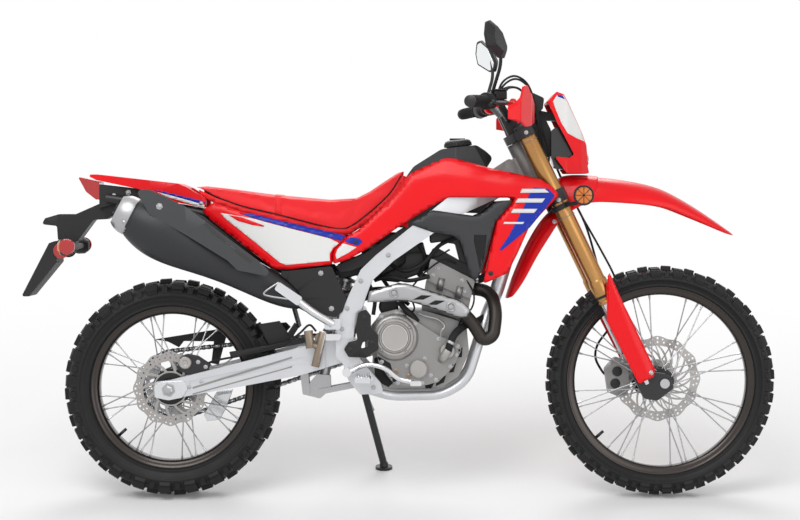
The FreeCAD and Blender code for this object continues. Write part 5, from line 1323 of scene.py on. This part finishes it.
def peg_details():
    """The wire and teeth of the pegs, and the stand's spring."""
    tubes("peg_wire", [[
        (353, -180, 590), (300, -182, 598), (282, -182, 606), (300, -182, 622), (326, -180, 638),
    ]], 3, STEEL, "footpegs")
    tubes("stand_spring", [[
        (560, 150, 322), (575, 170, 270), (590, 190, 232),
    ]], 5, STEEL, "side_stand", sides=8)
    peg = skin("footpegs")
    spots = [peg.ray_cast(Vector((x, side * (190 + 14 * k), 500)), Vector((0, 0, -1)))[0]
             for side in SIDES for k in range(6) for x in (556, 580)]
    lathes("peg_teeth", [
        ([(0, -1), (3.4, -1), (1.6, 4), (0, 4)], spot, UP) for spot in spots if spot and spot.z > 320
    ], POLISHED, "footpegs", sides=6, bevel=0)


def fork_details():
    """Caps, seals and bands of the fork tubes, and the guards' ridges and pins."""
    lathes("fork_caps", [
        ([
            (26.3, -20), (27.3, -20), (27.3, 1), (24, 4), (15, 6), (15, 12), (0, 12),
        ], fork_point(FORK_U, s * FORK_HALF, 856), FORK_UP)
        for s in SIDES
    ], BLACK_METAL, "fork_tubes", sides=32)
    lathes("fork_seals", [
        ([
            (21.8, 0), (26.4, 0), (27.2, 3), (27.2, 14), (25, 18), (21.8, 18),
        ], fork_point(FORK_U, s * FORK_HALF, 302), FORK_UP)
        for s in SIDES
    ], BLACK, "fork_tubes")
    lathes("fork_bands", [
        ([(26.2, 0), (26.8, 0), (26.8, 3), (26.2, 3)], fork_point(FORK_U, s * FORK_HALF, w), FORK_UP)
        for s in SIDES for w in (560, 806)
    ], BRONZE, "fork_tubes", bevel=0.2, sides=48)
    moulded(
        "guard_ridges",
        [(1277, 655), (1283, 664), (1334, 551), (1411, 387), (1409, 364), (1370, 344), (1278, 524)],
        lambda x, z: 135.0 + 5.0 * max(0.0, 1 - edge_distance(x, z, [
            (1283, 640), (1345, 480), (1394, 366), (1345, 480),
        ]) / 26), RED, "fork_guards", roll=1.2, thick=0.8, spacing=7.0,
    )
    bolts("guard_pins", [((1402, s * 137, 374), (0, s, 0)) for s in SIDES], 6, "fork")


def signal_details():
    """Rims and ribs of the front signals, and the side reflectors."""
    lamps = skin("front_signals")
    rims, ribs = [], bmesh.new()
    for s in SIDES:
        face, _ = touch(lamps, 1203, 889, s)
        rims.append(([
            (24.5, -3), (24.5, 1.6), (28, 2.4), (29.8, 0), (29.8, -8), (27, -8),
        ], face, (0, s, 0)))
        for k in range(4):
            way = Vector((math.cos(math.pi * k / 4), 0, math.sin(math.pi * k / 4))) * 25
            ring_tube(ribs, [
                face - way + Vector((0, s * 0.3, 0)), face + way + Vector((0, s * 0.3, 0)),
            ], 0.8, 6)
    lathes("signal_rims", rims, BLACK, "front_signals", sides=40)
    piece("signal_ribs", ribs, RUBBER, "front_signals")
    spots = [touch(skin("rear_signals"), -290, 740, s)[0] for s in SIDES]
    lathes("side_reflectors", [
        ([(0, 4.2), (20, 4.2), (23, 3), (23, -4)], spot, (0, math.copysign(1, spot.y), 0))
        for spot in spots if spot
    ], RED_LENS, "rear_signals", sides=40)


def front_brake_details():
    """The front wheel's speed cable and the caliper's hose, pistons and bolts."""
    tubes("speed_cable", [[
        (1180, -46, 900), (1197, -56, 850), (1250, -66, 754), (1296, -72, 668), (1303, -76, 640),
        (1298, -82, 600),
    ]], 3.2, RUBBER, "fork_legs", sides=10)
    tubes("caliper_hose", [[
        (1296, 84, 480), (1268, 84, 440), (1262, 84, 400), (1282, 82, 360), (1300, 78, 344),
    ]], 3.6, RUBBER, "front_caliper", sides=10)
    lathes("caliper_pistons", [
        ([(0, 0), (15, 0), (15, 2.4), (12, 3.2), (0, 3.2)], (x, 34.4, z), RIGHT)
        for x, z in ((1322, 364), (1316, 328))
    ], BLACK_METAL, "front_caliper", sides=28)
    bolts("front_caliper_bolts", [
        ((1300, 33.6, 388), RIGHT), ((1296, 33.6, 308), RIGHT), ((1338, 33.6, 392), RIGHT),
    ], 4.5, "fork")


def clamp_details():
    """The tubes' collars, the clamps' bolts and the nut on the stem."""
    lathes("fork_collars", [
        ([
            (21.8, 0), (25.2, 0), (25.8, 2), (25.8, 6), (24.6, 8), (24.6, 11), (25.8, 13), (25.8, 20),
            (21.8, 20),
        ], fork_point(FORK_U, s * FORK_HALF, 284), FORK_UP)
        for s in SIDES
    ], GOLD, "fork_tubes", sides=40)
    studs("clamp_bolts", skin("triple_clamps"), [
        fork_point(FORK_U, 0, w).xz for w in (616, 636, 834)
    ], 5, "fork")
    lathes("stem_nut", [([
        (0, 0), (20, 0), (20, 6), (13, 8), (13, 14), (0, 14),
    ], fork_point(0, 0, 850), FORK_UP)], POLISHED, "triple_clamps", sides=6)


def bar_details():
    """Grips, bar ends, levers and the brake's reservoir."""
    grips, ends = [], []
    levers = bmesh.new()
    for s in SIDES:
        end, way = (Vector((v.x, s * v.y, v.z)) for v in (BAR_END, BAR_WAY))
        grips += [([(16.2, -1.6), (17.6, -1.2), (17.6, 1.2), (16.2, 1.6)], end + way * (10 + 6.4 * k), way)
                  for k in range(17)]
        grips.append(([(16, -2), (24, -2), (25, 1), (24, 4), (16, 4)], end + way * 124, way))
        ends.append(([(0, -1), (15, -1), (17, 2), (17, 9), (11, 12), (0, 12)], end, -way))
        line = catmull([end + way * 150 + Vector((x, s * y, z)) for x, y, z in LEVER])
        ring_tube(levers, line, [7.5 - 3.5 * min(1, 1.6 * i / len(line)) + (2.5 if i > len(line) - 5 else 0)
                                 for i in range(len(line))])
    lathes("grip_ribs", grips, RUBBER, "grips", sides=24, bevel=0.3)
    lathes("bar_ends", ends, BLACK_METAL, "handlebar", sides=24)
    piece("levers", levers, BLACK_METAL, "switchgear")
    tilt = math.atan2(BAR_WAY.x, -BAR_WAY.y)
    left = BAR_END + BAR_WAY * 168
    right = Vector((left.x, -left.y, left.z))
    boxes("brake_reservoir", [
        (right + Vector((22, 4, 16)), (34, 46, 24), tilt, "Z"),
        (right + Vector((22, 4, 31)), (38, 50, 5), tilt, "Z"),
        (right + Vector((14, 0, 0)), (40, 16, 22), tilt, "Z"),
        (left + Vector((14, 0, 0)), (40, 16, 22), -tilt, "Z"),
    ], BLACK, "switchgear", 3)


def cable_details():
    """The control cables and the front brake's hose."""
    cables = [
        [
            (948, -262, 1166), (968, -240, 1212), (1006, -190, 1232), (1046, -130, 1210), (1070, -92, 1150),
            (1082, -74, 1080), (1086, -60, 1010),
        ],
        [
            (950, -256, 1162), (972, -232, 1204), (1010, -180, 1224), (1050, -124, 1200), (1078, -84, 1130),
            (1092, -66, 1050), (1094, -52, 1000),
        ],
        [
            (948, 262, 1166), (972, 230, 1206), (1012, 170, 1222), (1052, 110, 1196), (1080, 70, 1120),
            (1090, 50, 1030),
        ], [(1060, -40, 1130), (1078, -52, 1110), (1100, -58, 1060), (1112, -56, 1010), (1108, -50, 960)],
        [(1040, 30, 1120), (1070, 44, 1100), (1092, 50, 1050), (1098, 50, 990)],
    ]
    tubes("control_cables", cables, 3.2, RUBBER, "switchgear", sides=8)
    tubes("front_brake_hose", [[
        (960, -258, 1160), (986, -220, 1196), (1030, -150, 1188), (1078, -40, 1110),
        fork_point(76, 20, 700), fork_point(78, 60, 640), fork_point(84, 72, 520), fork_point(66, 74, 400),
        fork_point(44, 70, 300), fork_point(30, 66, 180), fork_point(12, 66, 90),
    ]], 3.4, RUBBER, "front_caliper")


def headlamp_details():
    """Film on the cowl, the lamp's glass and the small panels behind it."""
    cowl = skin("headlamp_cowl")
    decal("cowl_white_film", cowl, [[
        (1134, 1184), (1152, 1182), (1168, 1156), (1202, 1084), (1218, 1047), (1194, 1056), (1165, 1071),
        (1147, 1099), (1131, 1136), (1121, 1164),
    ]], WHITE, "headlamp_cowl", lift=0.7)
    decal("cowl_blue_film", cowl, [[
        (1133, 1184), (1149, 1182), (1157, 1170), (1136, 1178),
    ]], BLUE, "headlamp_cowl", lift=1.2)
    pane = rounded([(-45, 986), (45, 986), (51, 1050), (37, 1065), (-37, 1065), (-51, 1050)], 8)
    loft("headlamp_glass", [
        [(x - 0.4 * max(0, z - 1012), y * size, 1018 + (z - 1018) * size) for y, z in pane]
        for x, size in ((1222, 0.98), (1228, 0.96), (1231, 0.8), (1231.5, 0.4))
    ], CLEAR, "headlamp")
    boxes("meter_screen", [(
        (1066, 0, 1186), (44, 96, 2), math.radians(24),
    )], GLOSS_BLACK, "instrument_panel", 0.8)
    boxes("cowl_panel", [((1173, 0, 1114), (3, 128, 106), math.radians(-26))], BLACK, "headlamp_cowl", 0.8)


# Studio


def floor_paper():
    """White paper round the wheels that turns into an even white glow further out."""
    paper = surface(
        "floor_paper", (0.93, 0.93, 0.93), (0.8, 0.9), grain=40, bump=0.0, patch=0.01, shine=0.0,
    )
    tree = paper.node_tree
    shader = tree.nodes["Principled BSDF"]
    away = tree.nodes.new("ShaderNodeVectorMath")
    away.operation = "LENGTH"
    tree.links.new(node(tree, "ShaderNodeTexCoord").outputs["Object"], away.inputs[0])
    fade = node(tree, "ShaderNodeMapRange", From_Min=0.9, From_Max=3.0, To_Min=0.06, To_Max=1.0)
    fade.interpolation_type = "SMOOTHSTEP"
    tree.links.new(away.outputs["Value"], fade.inputs["Value"])
    glow, colour = fade.outputs["Result"], shader.inputs["Base Color"]
    tree.links.new(mixed(tree, glow, colour.links[0].from_socket, (0, 0, 0)), colour)
    tree.links.new(glow, shader.inputs["Emission Strength"])
    shader.inputs["Emission Color"].default_value = (1, 1, 1, 1)
    return paper


def show(name, data):
    """Adds an object to the scene that isn't part of the motorcycle."""
    obj = bpy.data.objects.new(name, data)
    bpy.context.scene.collection.objects.link(obj)
    return obj


def sky():
    """A white background for the camera and for reflections, and softer light for everything else."""
    world = bpy.data.worlds.new("sky")
    bpy.context.scene.world = world
    world.use_nodes = True
    tree = world.node_tree
    back = tree.nodes["Background"]
    back.inputs["Color"].default_value = (1, 1, 1, 1)
    path = tree.nodes.new("ShaderNodeLightPath")
    seen = path.outputs["Is Camera Ray"]
    for other in ("Is Glossy Ray", "Is Transmission Ray"):
        both = tree.nodes.new("ShaderNodeMath")
        both.operation = "MAXIMUM"
        tree.links.new(seen, both.inputs[0])
        tree.links.new(path.outputs[other], both.inputs[1])
        seen = both.outputs["Value"]
    level = node(tree, "ShaderNodeMapRange", To_Min=0.50, To_Max=1.0)
    tree.links.new(seen, level.inputs["Value"])
    tree.links.new(level.outputs["Result"], back.inputs["Strength"])


def studio():
    """A pale floor, soft light and the photo's camera."""
    scene = bpy.context.scene
    bm = bmesh.new()
    bmesh.ops.create_grid(bm, x_segments=4, y_segments=4, size=60)
    mesh = bpy.data.meshes.new("floor")
    bm.to_mesh(mesh)
    bm.free()
    mesh.materials.append(floor_paper())
    show("floor", mesh)
    sky()
    for name, (at, size, power) in LAMPS.items():
        lamp = bpy.data.lights.new(name, "AREA")
        lamp.size, lamp.energy = size, power
        obj = show(name, lamp)
        obj.location = at
        obj.rotation_mode = "QUATERNION"
        obj.rotation_quaternion = (Vector((0, 0, 0.5)) - Vector(at)).to_track_quat("-Z", "Y")
    camera = bpy.data.cameras.new("camera")
    camera.sensor_width = 36
    camera.lens = CAMERA_LENS
    camera.shift_x, camera.shift_y = CAMERA_SHIFT
    camera.clip_end = 200
    scene.camera = show("camera", camera)
    facing = Matrix(((1, 0, 0, 0), (0, 0, -1, 0), (0, 1, 0, 0), (0, 0, 0, 1)))
    scene.camera.matrix_world = PLACE @ Matrix.Translation(CAMERA_AT) @ facing
    scene.view_settings.view_transform = "Standard"


def main():
    """Dresses every node, adds the trim of each group and sets up the studio."""
    for finishes in CARRIED.values():
        for name, (material, edge) in finishes.items():
            carry(name, material, edge)
    wheels()
    build_chain()
    front_mudguard()
    bodywork()
    seat_trim(padded_seat())
    mirror_glass()
    tank_details()
    exhaust_details()
    case_details()
    head_details()
    intake_details()
    painted_parts()
    frame_details()
    swingarm_details()
    rear_brake_details()
    peg_details()
    fork_details()
    signal_details()
    front_brake_details()
    clamp_details()
    bar_details()
    cable_details()
    headlamp_details()
    studio()


main()
